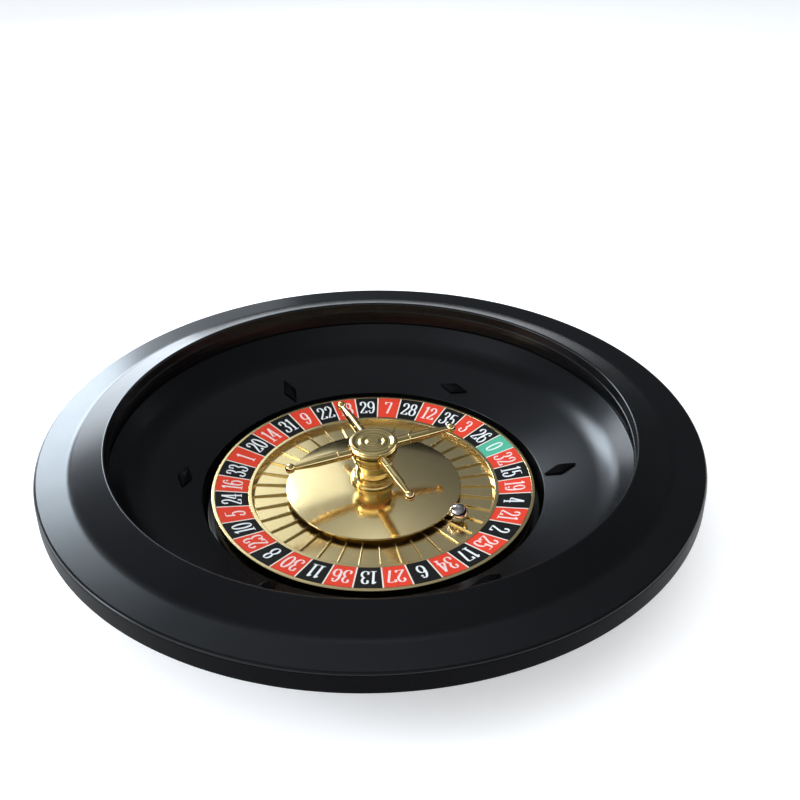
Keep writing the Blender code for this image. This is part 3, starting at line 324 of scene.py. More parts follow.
# %% Gilt plating
PALE_GILT = "#f3dca3"
DEEP_GILT = "#f2d78c"
TINT_GILT = "#eed398"         # mixed into both in patches
TINT_PATCH_MM = 14.0
GLOSS_PATCH_MM = 9.0
SPIN_MARK_MM = 0.7


def gilt(name, colour, gloss_low, gloss_high, ring_depth_mm):
    """Plated metal with faint turning marks, rings about the Z axis that are SPIN_MARK_MM apart."""
    finish, tree, shader, place = new_finish(name, Metallic=1.0)
    coloured(tree, shader, grain(tree, place, TINT_PATCH_MM), colour, TINT_GILT)
    wear = between(tree, grain(tree, place, GLOSS_PATCH_MM, 5.0), gloss_low, gloss_high)
    tree.links.new(wear, shader.inputs["Roughness"])
    marks = add(tree, "TexNoise", {"W": from_axis(tree, place), "Scale": 1 / (SPIN_MARK_MM * MM),
                                   "Detail": 3.0}, noise_dimensions="1D").outputs["Fac"]
    bumped(tree, shader, marks, ring_depth_mm)
    return finish


cone_gilt = gilt("spun_pale_gilt", PALE_GILT, 0.13, 0.16, 0.0015)
plate_gilt = gilt("pressed_pale_gilt", PALE_GILT, 0.19, 0.21, 0.0004)
ring_gilt = gilt("turned_pale_gilt", PALE_GILT, 0.18, 0.22, 0.001)
turret_gilt = gilt("polished_deep_gilt", DEEP_GILT, 0.07, 0.11, 0.001)

# %% [markdown]
# ### Steel and rubber
#
# The ball is chromium plated bearing steel, nearly a mirror with a slightly warm tone. Screws, nut and
# washer are zinc plated, which is duller and blotchy. The feet are matt moulded rubber.

# %% Steel and rubber
def steel(name, colour, gloss_low, gloss_high):
    """Plated steel whose gloss varies in patches of 4 mm."""
    finish, tree, shader, place = new_finish(name, Metallic=1.0, Base_Color=linear(colour))
    wear = between(tree, grain(tree, place, 4.0, 4.0), gloss_low, gloss_high)
    tree.links.new(wear, shader.inputs["Roughness"])
    bumped(tree, shader, grain(tree, place, 0.8), 0.001)
    return finish


ball_chrome = steel("chromed_bearing_steel", "#d3cac6", 0.05, 0.09)
zinc = steel("zinc_plated_steel", "#c3c5c8", 0.25, 0.45)

rubber, rubber_tree, rubber_shader, rubber_place = new_finish("matt_black_rubber", Roughness=0.78)
coloured(rubber_tree, rubber_shader, grain(rubber_tree, rubber_place, 3.0, 5.0), "#191919", "#252525")
bumped(rubber_tree, rubber_shader, grain(rubber_tree, rubber_place, 0.5), 0.05)

# %% [markdown]
# ### Printed ring
#
# The numbers are printed on card: red and black cells by turns, one green cell for zero, and a thin pale
# line between each two. Drawing 37 cells by hand would need a picture. Here a cell's number comes from
# the angle about the spindle: the angle is turned to cells, its whole part says which cell this is and
# its fraction how far off the line is. The light inks are separate, a little raised, and come later.

# %% Printed ring
POCKETS = 37
PITCH = FULL_TURN / POCKETS
ZERO_AZIMUTH = 2.5 * PITCH     # the zero lies between the third and the fourth separator
LINE_MM = 1.0
RED = "#e8452e"
BLACK = "#161615"
GREEN = "#57b898"
PAPER = "#efe6da"

card, card_tree, card_shader, card_place = new_finish("printed_card", Specular_IOR_Level=0.12)
card_xyz = add(card_tree, "SeparateXYZ", {"Vector": card_place})
card_azimuth = calc(card_tree, "ARCTAN2", card_xyz.outputs["Y"], card_xyz.outputs["X"])
clockwise = calc(card_tree, "MULTIPLY_ADD", card_azimuth, -1 / PITCH, ZERO_AZIMUTH / PITCH + 0.5)
cell = calc(card_tree, "WRAP", clockwise, float(POCKETS), 0.0)
number = calc(card_tree, "FLOOR", cell)
within = calc(card_tree, "FRACT", cell)
is_red = calc(card_tree, "MODULO", number, 2.0)
is_zero = calc(card_tree, "LESS_THAN", number, 0.5)
off_middle = calc(card_tree, "ABSOLUTE", calc(card_tree, "SUBTRACT", within, 0.5))
to_line = calc(card_tree, "SUBTRACT", 0.5, off_middle)
line_share = calc(card_tree, "DIVIDE", LINE_MM * MM / 2 / PITCH, from_axis(card_tree, card_place))
is_line = calc(card_tree, "LESS_THAN", to_line, line_share)
ink = add(card_tree, "MixRGB", {"Fac": is_red, "Color1": linear(BLACK), "Color2": linear(RED)})
ink = add(card_tree, "MixRGB", {"Fac": is_zero, "Color1": ink.outputs[0], "Color2": linear(GREEN)})
ink = add(card_tree, "MixRGB", {"Fac": is_line, "Color1": ink.outputs[0], "Color2": linear(PAPER)})
mottle = between(card_tree, grain(card_tree, card_place, 5.0, 4.0), 0.93, 1.0)
ink = add(card_tree, "MixRGB", {"Fac": 1.0, "Color1": ink.outputs[0], "Color2": mottle},
          blend_type="MULTIPLY")
card_tree.links.new(ink.outputs[0], card_shader.inputs["Base Color"])
card_gloss = between(card_tree, grain(card_tree, card_place, 9.0), 0.40, 0.48)
card_tree.links.new(card_gloss, card_shader.inputs["Roughness"])
bumped(card_tree, card_shader, grain(card_tree, card_place, 0.9), 0.01)


def pale_ink(name, colour):
    """Opaque screen ink, slightly uneven where it covers thinly."""
    finish, tree, shader, place = new_finish(name, Roughness=0.45)
    coloured(tree, shader, grain(tree, place, 1.5, 3.0), colour, "#ffffff")
    bumped(tree, shader, grain(tree, place, 1.0), 0.01)
    return finish


ink_on_black = pale_ink("white_screen_ink", "#dfe6ea")
ink_on_red = pale_ink("white_ink_over_red", "#eeb3a8")
ink_on_green = pale_ink("white_ink_over_green", "#bfe2d4")

# %% [markdown]
# ## Rim
#
# The brim is one moulding. From inside out it has a lip that overhangs the ball track, a wall with a
# small step, a rounded crest, an inner band that falls outwards, a soft crease, a nearly flat outer band
# and a skirt. A turned outline gives all of it, and the roundings matter most: each one draws a thin
# bright line round the wheel. Six screw bosses hang inside the hollow brim. The skirt is the same moulding
# with a duller face. A second object would leave a seam, so its faces get a material of their own, chosen
# by where their centres lie.

# %% Rim
BIG_STEPS = 360
rim_low, rim_high = box_of("rim")
bowl_low, bowl_high = box_of("bowl")
WALL = 2.6
FLANGE_R = bowl_high[0]
FLANGE_Z = bowl_high[2]
TRACK_TOP_R = FLANGE_R - 16.0
SKIRT_FLARE = 0.4
BRIM_R = rim_high[0] - SKIRT_FLARE
CREST_Z = rim_high[2]
SKIRT_Z = rim_low[2]
BRIM_Z = SKIRT_Z + 13.9
CREASE_Z = BRIM_Z + 0.6
CREASE_R = BRIM_R - 22.2
CREST_R = CREASE_R - 24.0
BAND_SLOPE = (CREST_Z - CREASE_Z) / (CREASE_R - CREST_R)
LIP_ROUND = 1.4
LIP_R = CREST_R - 1.3
LIP_Z = CREST_Z - 12.6
STEP_Z = LIP_Z + 5.5
GROOVE_R = TRACK_TOP_R + 3.0
RIM_FOOT_Z = FLANGE_Z + 0.3
EDGE_ROUND = 2.2
CREASE_ROUND = 14.0
BOSS_PITCH_R = FLANGE_R - 5.6
BOSS_R = 3.8
RIM_BOSSES = 6


def circle(centre_x, centre_y, radius, count):
    """Points of a circle, evenly turned."""
    angle = np.arange(count) * FULL_TURN / count
    return np.column_stack([centre_x + radius * np.cos(angle), centre_y + radius * np.sin(angle)])


rim_outline = rounded([
    (CREST_R, CREST_Z + LIP_ROUND * BAND_SLOPE, LIP_ROUND),
    (CREASE_R, CREASE_Z, CREASE_ROUND),
    (BRIM_R, BRIM_Z, EDGE_ROUND),
    (BRIM_R + SKIRT_FLARE, SKIRT_Z, 0.4),
    (BRIM_R + SKIRT_FLARE - WALL, SKIRT_Z, 0.4),
    (BRIM_R - WALL, BRIM_Z - WALL, 1.5),
    (CREASE_R, CREASE_Z - WALL, CREASE_ROUND),
    (GROOVE_R + WALL, CREST_Z - WALL - (GROOVE_R + WALL - CREST_R - LIP_ROUND) * BAND_SLOPE, 1.0),
    (GROOVE_R + WALL, RIM_FOOT_Z, 0.3),
    (GROOVE_R, RIM_FOOT_Z, 0.3),
    (GROOVE_R, LIP_Z, 0.5),
    (LIP_R, LIP_Z, 0.5),
    (LIP_R, STEP_Z - 0.5, 0.3),
    (CREST_R - 0.8, STEP_Z, 0.3),
])
boss_top = CREST_Z - WALL / 2 - (BOSS_PITCH_R + BOSS_R - CREST_R) * BAND_SLOPE
boss = prism(circle(BOSS_PITCH_R, 0, BOSS_R, 24), RIM_FOOT_Z, boss_top)
bosses = copies(boss, RIM_BOSSES, math.pi / RIM_BOSSES)
brim = piece("rim_brim", merged([turned(rim_outline, BIG_STEPS)] + bosses), satin_abs, "bowl_body",
             "black_abs", "rim")

# %% Duller skirt
brim.data.materials.append(skirt_abs)
centre = np.empty(len(brim.data.polygons) * 3)
brim.data.polygons.foreach_get("center", centre)
centre = centre.reshape(-1, 3) / MM
far_out = np.hypot(centre[:, 0], centre[:, 1]) > BRIM_R - WALL / 2
on_skirt = far_out & (centre[:, 2] < BRIM_Z - EDGE_ROUND / 2)
brim.data.polygons.foreach_set("material_index", on_skirt.astype(int))
print(f"skirt: {on_skirt.sum()} faces")

# %% [markdown]
# ## Bowl
#
# The bowl is the second moulding: the floor with a boss for the spindle, the well that the rotor turns
# in, the sloping apron and the curved ball track, which ends in a flange under the rim. The track's arc
# is worked out from its centre, so the apron runs into it without a kink. From 47 degrees up its wall goes
# straight on, because the photograph shows one even pale band there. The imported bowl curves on.

# %% Bowl
ring_high = box_of("pocket_ring")[1]
ROTOR_R = ring_high[0]
RING_Z = ring_high[2]
WELL_R = ROTOR_R + 7.5
WELL_FLOOR_R = WELL_R - 2.0
FLOOR_UNDER_Z = bowl_low[2]
FLOOR_Z = FLOOR_UNDER_Z + 2.5
APRON_Z = RING_Z + 0.6
APRON_L = 34.0
APRON_ANGLE = math.radians(22.4)
APRON_REACH = 1.2             # how far its inner edge stands in past the well's wall
APRON_EDGE_R = WELL_R - APRON_REACH
APRON_EDGE_Z = APRON_Z - APRON_REACH * math.tan(APRON_ANGLE)
APRON_OUT_R = WELL_R + APRON_L
APRON_OUT_Z = APRON_Z + APRON_L * math.tan(APRON_ANGLE)
TRACK_R = 46.6
TRACK_TOP_ANGLE = math.radians(47)
TRACK_CENTRE = (APRON_OUT_R - TRACK_R * math.sin(APRON_ANGLE),
                APRON_OUT_Z + TRACK_R * math.cos(APRON_ANGLE))
SPINDLE_BOSS_R = 11.5
SPINDLE_BOSS_RISE = 2.8
NUT_POCKET_R = 8.5
THREAD_HOLE_R = 3.3
BOWL_RIBS = 8
RIB_T = 2.0
TRACK_POINTS = 30
RIB_POINTS = 9


def slope_arc(radius, start, end, count):
    """Corners without rounding on an arc about the track's centre, between two slopes."""
    slope = np.linspace(start, end, count)
    r = TRACK_CENTRE[0] + radius * np.sin(slope)
    z = TRACK_CENTRE[1] - radius * np.cos(slope)
    return [(float(a), float(b), 0) for a, b in zip(r, z)]


def track_top(radius, height):
    """Radius where the straight wall that carries on from the arc reaches a height."""
    r, z, _ = slope_arc(radius, TRACK_TOP_ANGLE, TRACK_TOP_ANGLE, 1)[0]
    return r + (height - z) / math.tan(TRACK_TOP_ANGLE)


shoulder_z = APRON_Z - WALL / math.cos(APRON_ANGLE) + WALL * math.tan(APRON_ANGLE)
bowl_outline = rounded([
    (THREAD_HOLE_R, FLOOR_Z + SPINDLE_BOSS_RISE, 0.3),
    (SPINDLE_BOSS_R, FLOOR_Z + SPINDLE_BOSS_RISE, 0.6),
    (SPINDLE_BOSS_R, FLOOR_Z, 0.6),
    (WELL_FLOOR_R, FLOOR_Z, 3.0),
    (APRON_EDGE_R, APRON_EDGE_Z, 0.9),
    *slope_arc(TRACK_R, APRON_ANGLE, TRACK_TOP_ANGLE, TRACK_POINTS),
    (track_top(TRACK_R, FLANGE_Z), FLANGE_Z, 0.5),
    (FLANGE_R, FLANGE_Z, 0.4),
    (FLANGE_R, FLANGE_Z - WALL, 0.4),
    (track_top(TRACK_R + WALL, FLANGE_Z - WALL), FLANGE_Z - WALL, 0.6),
    *slope_arc(TRACK_R + WALL, TRACK_TOP_ANGLE, APRON_ANGLE, TRACK_POINTS),
    (WELL_R + WALL, shoulder_z, 1.0),
    (WELL_FLOOR_R + WALL, FLOOR_UNDER_Z, 3.0),
    (NUT_POCKET_R, FLOOR_UNDER_Z, 0.4),
    (NUT_POCKET_R, FLOOR_UNDER_Z + SPINDLE_BOSS_RISE, 0.6),
    (THREAD_HOLE_R, FLOOR_UNDER_Z + SPINDLE_BOSS_RISE, 0.3),
])


def upright(section, thickness):
    """A flat outline of (radius, height) points as an upright plate across the X axis."""
    points, faces = prism(section, -thickness / 2, thickness / 2)
    return points[:, [0, 2, 1]], [face[::-1] for face in faces]


rib_outer_r = BOSS_PITCH_R - 3.6
rib_arc = slope_arc(TRACK_R + WALL / 2, APRON_ANGLE, TRACK_TOP_ANGLE, RIB_POINTS)
rib_side = [corner[:2] for corner in rib_arc]
rib_side += [(track_top(TRACK_R + WALL / 2, FLANGE_Z - WALL / 2), FLANGE_Z - WALL / 2),
             (rib_outer_r, FLANGE_Z - WALL / 2), (rib_outer_r, FLANGE_Z - 2 * WALL),
             (WELL_R + WALL / 2, FLOOR_UNDER_Z + 4.0), (WELL_R + WALL / 2, APRON_Z - WALL)]
ribs = copies(upright(rib_side, RIB_T), BOWL_RIBS)
piece("bowl_shell", merged([turned(bowl_outline, BIG_STEPS)] + ribs), satin_abs, "bowl_body", "black_abs",
      "bowl")

# %% [markdown]
# ## Rotor: plate, separators and ring
#
# The pockets are three pressed and turned pieces. A dished plate is their floor, a ring of 37 thin walls
# parts them, and the outer ring holds their steep outer wall, a flat inner border, the bed of the numbers
# and the outer border. The ball's mirror image in the floor and the narrow black line under the cone's
# edge show that the floor lies about 2 mm below the separators' tops, so it is drawn there, higher than in
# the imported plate. One separator is a small grid: across, a section that is thicker at the foot and round
# at the top, and along, a height that falls a little outwards. The other 36 are turned copies.

# %% Pocket plate
ROTOR_STEPS = POCKETS * 8
PLATE_T = 1.8
CONE_R = box_of("cone")[1][0]
plate_high = box_of("pocket_plate")[1]
PLATE_OUT_R = plate_high[0]
PLATE_CLIMB = 1.0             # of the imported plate, from the cone to the outer wall
FLOOR_LIFT = 1.6              # of the drawn floor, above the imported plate's outer edge
FLOOR_STEP = 0.5              # width of the step up to it
WALL_LEAN = 2.1               # of the pockets' outer wall
POCKET_OUT_Z = plate_high[2]
POCKET_Z = POCKET_OUT_Z - PLATE_CLIMB
POCKET_TOP_Z = POCKET_OUT_Z + FLOOR_LIFT
POCKET_FOOT_R = CONE_R + 23.0
POCKET_OUT_R = POCKET_FOOT_R + WALL_LEAN
WEB_IN_R = CONE_R - 22.5
FLOOR_IN_R = CONE_R - 1.6
plate_outline = rounded([
    (PLATE_OUT_R, POCKET_OUT_Z, 0.2),
    (POCKET_FOOT_R, POCKET_OUT_Z, 0),
    (POCKET_FOOT_R + FLOOR_STEP, POCKET_TOP_Z, 0.1),
    (FLOOR_IN_R, POCKET_TOP_Z, 0.2),
    (FLOOR_IN_R, POCKET_Z, 0),
    (WEB_IN_R, POCKET_Z, 0.3),
    (WEB_IN_R, POCKET_Z - PLATE_T, 0.3),
    (CONE_R, POCKET_Z - PLATE_T, 2.0),
    (POCKET_FOOT_R, POCKET_OUT_Z - PLATE_T, 2.0),
    (PLATE_OUT_R, POCKET_OUT_Z - PLATE_T, 0.2),
])
piece("pocket_floor", turned(plate_outline, ROTOR_STEPS), plate_gilt, "rotor", "gilt_plate", "pocket_plate")

# %% Separators
WEB_Z = box_of("separator_ring")[0][2]
WEB_T = 1.2
BLADE_ROOT = 1.5              # length of its root over the web
BLADE_SHOWS = 1.3             # height above the drawn floor, at the outer wall
BLADE_RISE_IN = 0.5           # how much higher it stands at the cone
BLADE_IN_R = CONE_R - 3.5
BLADE_FOOT_OUT_R = POCKET_FOOT_R - 0.3
BLADE_TOP_OUT_R = POCKET_FOOT_R + 0.8
BLADE_FOOT_Z = WEB_Z + 0.15
BLADE_TOP_Z = POCKET_TOP_Z + BLADE_SHOWS
BLADE_H = BLADE_TOP_Z - BLADE_FOOT_Z
BLADE_IN_SHARE = (BLADE_H + BLADE_RISE_IN) / BLADE_H
BLADE_T = 0.8
BLADE_FOOT_T = 1.0
BLADE_STATIONS = 9


def blade():
    """Points and faces of one separator along +X, on a grid of section points and stations.

    At share s of its length the section's height h stands at h * (q + (1 - q) * s), where q is
    BLADE_IN_SHARE, so the top falls evenly outwards.
    """
    section = rounded([(-BLADE_FOOT_T / 2, 0, 0.1), (BLADE_FOOT_T / 2, 0, 0.1),
                       (BLADE_T / 2, BLADE_H, 0.4), (-BLADE_T / 2, BLADE_H, 0.4)])
    side, height = section.T
    out = BLADE_FOOT_OUT_R + (BLADE_TOP_OUT_R - BLADE_FOOT_OUT_R) * height / BLADE_H
    share = np.linspace(0, 1, BLADE_STATIONS)[:, None]
    points = np.empty((BLADE_STATIONS, len(side), 3))
    points[..., 0] = BLADE_IN_R + (out - BLADE_IN_R) * share
    points[..., 1] = side
    points[..., 2] = BLADE_FOOT_Z + height * (BLADE_IN_SHARE + (1 - BLADE_IN_SHARE) * share)
    count = len(side)
    i, j = np.meshgrid(np.arange(BLADE_STATIONS - 1), np.arange(count), indexing="ij")
    after = (j + 1) % count
    walls = np.stack([i * count + j, i * count + after, (i + 1) * count + after, (i + 1) * count + j],
                     axis=-1)
    ends = [list(range(count))[::-1], list(range((BLADE_STATIONS - 1) * count, BLADE_STATIONS * count))]
    return points.reshape(-1, 3), [face[::-1] for face in walls.reshape(-1, 4).tolist() + ends]


blades = copies(blade(), POCKETS)
web_out_r = BLADE_IN_R + BLADE_ROOT
web_outline = rounded([(web_out_r, WEB_Z + WEB_T, 0.2), (web_out_r, WEB_Z, 0.2),
                       (WEB_IN_R, WEB_Z, 0.2), (WEB_IN_R, WEB_Z + WEB_T, 0.2)])
piece("separator_walls", merged([turned(web_outline, ROTOR_STEPS)] + blades), plate_gilt, "rotor",
      "gilt_plate", "separator_ring")

# %% Outer ring
BORDER_W = 2.5
CELL_IN_R = POCKET_OUT_R + BORDER_W
CELL_OUT_R = ROTOR_R - BORDER_W
BORDER_R = ROTOR_R + 0.1
CELL_IN_Z = POCKET_OUT_Z + 6.0
RING_FOOT_Z = POCKET_OUT_Z + 0.3
RECESS = 0.9
SKIRT_H = 12.4
RING_BOSSES = 4
ring_outline = rounded([
    (BORDER_R, RING_Z - SKIRT_H, 0.3),
    (BORDER_R, RING_Z, 0.7),
    (CELL_OUT_R, RING_Z, 0.25),
    (CELL_OUT_R, RING_Z - RECESS, 0.1),
    (CELL_IN_R, CELL_IN_Z - RECESS, 0.1),
    (CELL_IN_R, CELL_IN_Z, 0.2),
    (POCKET_OUT_R, CELL_IN_Z, 0.4),
    (POCKET_FOOT_R, RING_FOOT_Z, 0.2),
    (POCKET_FOOT_R + PLATE_T, RING_FOOT_Z, 0.2),
    (POCKET_OUT_R + PLATE_T, CELL_IN_Z - RECESS - PLATE_T, 0.5),
    (ROTOR_R - PLATE_T, RING_Z - RECESS - PLATE_T, 0.5),
    (ROTOR_R - PLATE_T, RING_Z - SKIRT_H, 0.3),
])
ring_boss = prism(circle(PLATE_OUT_R - 4.5, 0, 3.2, 20), RING_FOOT_Z, CELL_IN_Z - RECESS - PLATE_T / 2)
ring_bosses = copies(ring_boss, RING_BOSSES, math.pi / RING_BOSSES)
piece("outer_ring", merged([turned(ring_outline, ROTOR_STEPS)] + ring_bosses), ring_gilt, "rotor",
      "gilt_plate", "pocket_ring")

# %% [markdown]
# ## Numbers
#
# The printed card lies flush between the two borders. Its figures are tall, narrow and bold, with thick
# uprights and thin hairlines, as a broad pen draws them. So each figure is a few pen strokes: lines and
# parts of ellipses, drawn with a nib that is wide across and thin along. A path with normal n gets the
# width sqrt((a nx)^2 + (b ny)^2). The strokes are thin prisms on the card, as screen ink is a thin layer.

# %% Printed card
CARD_T = 0.6
CARD_GAP = 0.3
CARD_SLOPE = (RING_Z - CELL_IN_Z) / (CELL_OUT_R - CELL_IN_R)
card_in = (CELL_IN_R + CARD_GAP, CELL_IN_Z + CARD_GAP * CARD_SLOPE)
card_out = (CELL_OUT_R - CARD_GAP, RING_Z - CARD_GAP * CARD_SLOPE)
card_outline = rounded([(*card_out, 0.1), (card_out[0], card_out[1] - CARD_T, 0.1),
                        (card_in[0], card_in[1] - CARD_T, 0.1), (*card_in, 0.1)])
piece("number_card", turned(card_outline, ROTOR_STEPS), card, "rotor", "printed_card", "number_ring")

# %% Figures drawn with a broad pen
FIGURE_H = 15.0
FIGURE_W = 6.6
NIB_ACROSS = 1.6
NIB_ALONG = 0.6
INK_LOW = 0.01
INK_HIGH = 0.07
CURVE_POINTS = 22
DOT_R = 0.85
DOT_POINTS = 14
ONE_WIDTH = 0.72              # of the other figures' width


def bow(centre_x, centre_y, radius_x, radius_y, start, end):
    """Part of an ellipse, from one angle to another in degrees, in shares of a figure's box."""
    angle = np.radians(np.linspace(start, end, CURVE_POINTS))
    return np.column_stack([centre_x + radius_x * np.cos(angle), centre_y + radius_y * np.sin(angle)])


def straight(*points):
    """Straight strokes through points, in shares of a figure's box."""
    return np.array(points, float)


# Each figure: pen paths and the places of its round terminals, in shares of its box
FIGURE_SHARES = {
    "0": ([bow(0, 0, 0.36, 0.47, 0, 360)], []),
    "1": ([straight((0.04, 0.49), (0.04, -0.47)), straight((0.04, 0.47), (-0.22, 0.34)),
           straight((-0.26, -0.47), (0.34, -0.47))], []),
    "2": ([bow(-0.01, 0.22, 0.33, 0.25, 165, -35), straight((0.27, 0.09), (-0.34, -0.42)),
           straight((-0.38, -0.43), (0.38, -0.43)), straight((0.36, -0.45), (0.38, -0.28))],
          [(-0.27, 0.24)]),
    "3": ([bow(-0.04, 0.24, 0.31, 0.23, 155, -80), bow(-0.04, -0.22, 0.37, 0.25, 85, -155)],
          [(-0.27, 0.27), (-0.3, -0.27)]),
    "4": ([straight((0.14, 0.48), (0.14, -0.47)), straight((0.12, 0.46), (-0.4, -0.16)),
           straight((-0.42, -0.19), (0.42, -0.19)), straight((-0.1, -0.47), (0.38, -0.47))], []),
    "5": ([straight((-0.28, 0.45), (0.32, 0.45)), straight((-0.27, 0.44), (-0.27, 0.02)),
           bow(-0.03, -0.17, 0.36, 0.3, 130, -155)], [(-0.28, -0.24)]),
    "6": ([bow(0, -0.2, 0.35, 0.27, 0, 360), bow(0.04, -0.06, 0.39, 0.53, 180, 60)], [(0.24, 0.3)]),
    "7": ([straight((-0.38, 0.43), (0.38, 0.43)), straight((0.36, 0.4), (-0.06, -0.48)),
           straight((-0.36, 0.45), (-0.37, 0.26))], []),
    "8": ([bow(0, 0.24, 0.29, 0.22, 0, 360), bow(0, -0.22, 0.35, 0.25, 0, 360)], []),
    "9": ([bow(0, 0.2, 0.35, 0.27, 0, 360), bow(-0.04, 0.06, 0.39, 0.53, 0, -120)], [(-0.24, -0.3)]),
}


def pen_stroke(path, high):
    """A thin prism along a path of (across, up) points in millimetres, drawn with the broad nib."""
    closed = np.allclose(path[0], path[-1])
    ahead = np.gradient(path, axis=0)
    if closed:
        ahead[[0, -1]] = path[1] - path[-2]
    ahead = ahead / np.linalg.norm(ahead, axis=1)[:, None]
    normal = np.column_stack([-ahead[:, 1], ahead[:, 0]])
    reach = np.hypot(NIB_ACROSS * normal[:, 0], NIB_ALONG * normal[:, 1])[:, None] / 2
    left, right = path + normal * reach, path - normal * reach
    low, top = np.full((len(path), 1), INK_LOW), np.full((len(path), 1), high)
    grid = np.stack([np.hstack([left, low]), np.hstack([left, top]), np.hstack([right, top]),
                     np.hstack([right, low])], axis=1)
    i, j = np.meshgrid(np.arange(len(path) - 1), np.arange(4), indexing="ij")
    after = (j + 1) % 4
    faces = np.stack([i * 4 + j, i * 4 + after, i * 4 + 4 + after, i * 4 + 4 + j], axis=-1)
    faces = faces.reshape(-1, 4).tolist()
    last = (len(path) - 1) * 4
    if not closed:
        faces += [[0, 3, 2, 1], [last, last + 1, last + 2, last + 3]]
    else:
        faces = [[number % last for number in face] for face in faces]
        grid = grid[:-1]
    return grid.reshape(-1, 3), faces


def figures(text):
    """All strokes of a number, centred, in millimetres, with up as its second axis."""
    widths = [FIGURE_W * (ONE_WIDTH if mark == "1" else 1.0) for mark in text]
    start = -sum(widths) / 2
    parts = []
    for mark, width in zip(text, widths):
        middle = np.array([start + width / 2, 0])
        paths, dots = FIGURE_SHARES[mark]
        for order, path in enumerate(paths):
            parts.append(pen_stroke(path * (FIGURE_W, FIGURE_H) + middle, INK_HIGH + order * INK_LOW / 2))
        for dot in dots:
            x, y = np.array(dot) * (FIGURE_W, FIGURE_H) + middle
            parts.append(prism(circle(x, y, DOT_R, DOT_POINTS), INK_LOW, INK_HIGH + INK_LOW))
        start += width
    return merged(parts)


def on_card(shape, azimuth):
    """A flat number laid on the sloping card, its top outwards."""
    points, faces = shape
    middle_r = (CELL_IN_R + CELL_OUT_R) / 2
    x = middle_r + points[:, 1]
    y = -points[:, 0]
    z = CELL_IN_Z + (np.hypot(x, y) - CELL_IN_R) * CARD_SLOPE + points[:, 2]
    return about_z(np.column_stack([x, y, z]), azimuth), faces


# %% Numbers round the wheel, clockwise from zero
ORDER = (0, 32, 15, 19, 4, 21, 2, 25, 17, 34, 6, 27, 13, 36, 11, 30, 8, 23, 10, 5, 24, 16, 33, 1, 20, 14,
         31, 9, 22, 18, 29, 7, 28, 12, 35, 3, 26)
laid = [on_card(figures(str(number)), ZERO_AZIMUTH - i * PITCH) for i, number in enumerate(ORDER)]
piece("figure_zero", laid[0], ink_on_green, "rotor", "printed_card")
piece("figures_on_red", merged(laid[1::2]), ink_on_red, "rotor", "printed_card")
piece("figures_on_black", merged(laid[2::2]), ink_on_black, "rotor", "printed_card")

# %% [markdown]
# ## Cone
#
# A shallow spun dome covers the middle and overhangs the pockets by its rounded edge. Its height falls
# with the square of the radius, which a few dozen points follow closely.

# %% Cone
CONE_STEPS = 288
cone_low, cone_high = box_of("cone")
base_low, base_high = box_of("turret_base")
BASE_R = base_high[0]
CONE_Z = cone_high[2]
CONE_T = 1.5
CONE_RISE = 4.8
CONE_EDGE_R = CONE_R - 0.6
CONE_FOOT_R = CONE_R - 15.0
CONE_FOOT_IN_R = CONE_FOOT_R - 6.5
CONE_BORE_R = 3.3
CROWN_POINTS = 26


def cone_height(radius):
    """Top of the cone at a radius outside the turret: a crown that falls with the radius squared."""
    return CONE_Z - CONE_RISE * (radius ** 2 - BASE_R ** 2) / (CONE_R ** 2 - BASE_R ** 2)


crown = [(float(r), float(cone_height(r)), 0) for r in np.linspace(BASE_R, CONE_EDGE_R - 0.3, CROWN_POINTS)]
cone_outline = rounded([
    (CONE_BORE_R, CONE_Z, 0.2),
    *crown,
    (CONE_R, cone_height(CONE_R), 0.5),
    (CONE_R, cone_height(CONE_R) - CONE_T + 0.1, 0.4),
    (CONE_FOOT_R, cone_height(CONE_FOOT_R) - CONE_T, 0.5),
    (CONE_FOOT_R, cone_low[2], 0.3),
    (CONE_FOOT_IN_R, cone_low[2], 0.3),
    (CONE_FOOT_IN_R, cone_height(CONE_FOOT_IN_R) - CONE_T, 0.5),
    (BASE_R, CONE_Z - CONE_T, 0.5),
    (CONE_BORE_R, CONE_Z - CONE_T, 0.2),
])
piece("spun_cone", turned(cone_outline, CONE_STEPS), cone_gilt, "rotor", "gilt_plate", "cone")

# %% [markdown]
# ## Turret
#
# The turret is turned brass in three pieces on one stud: two stacked flanges, a waisted column with a
# thin bead and a drum that narrows downwards, and a dished cap with a raised ring and a button. A turned
# piece shows its beads and grooves as thin bright and dark lines, so each of them is real geometry.

# %% Turret
TURRET_STEPS = 160
column_low, column_high = box_of("turret_column")
cap_low, cap_high = box_of("turret_cap")
BASE_Z, BASE_TOP_Z = base_low[2], base_high[2]
DRUM_R = column_high[0]
DRUM_TOP_Z = column_high[2]
DRUM_Z = DRUM_TOP_Z - 13.0
BEAD_Z = DRUM_Z - 1.6
NECK_R = 13.0
BEAD_R = 14.2
CAP_R = cap_high[0]
CAP_Z, CAP_TOP_Z = cap_low[2], cap_high[2]
BORE_R = 3.3
base_outline = rounded([
    (BORE_R, BASE_TOP_Z, 0.2), (0.84 * BASE_R, BASE_TOP_Z, 0.5), (0.94 * BASE_R, BASE_TOP_Z - 0.5, 0.5),
    (0.94 * BASE_R, BASE_Z + 3.3, 0.4), (0.87 * BASE_R, BASE_Z + 2.7, 0.3),
    (0.98 * BASE_R, BASE_Z + 2.0, 0.5), (BASE_R, BASE_Z + 1.4, 0.5), (BASE_R, BASE_Z, 0.4),
    (BORE_R, BASE_Z, 0.2),
])
piece("turret_foot", turned(base_outline, TURRET_STEPS), turret_gilt, "rotor", "gilt_turret", "turret_base")
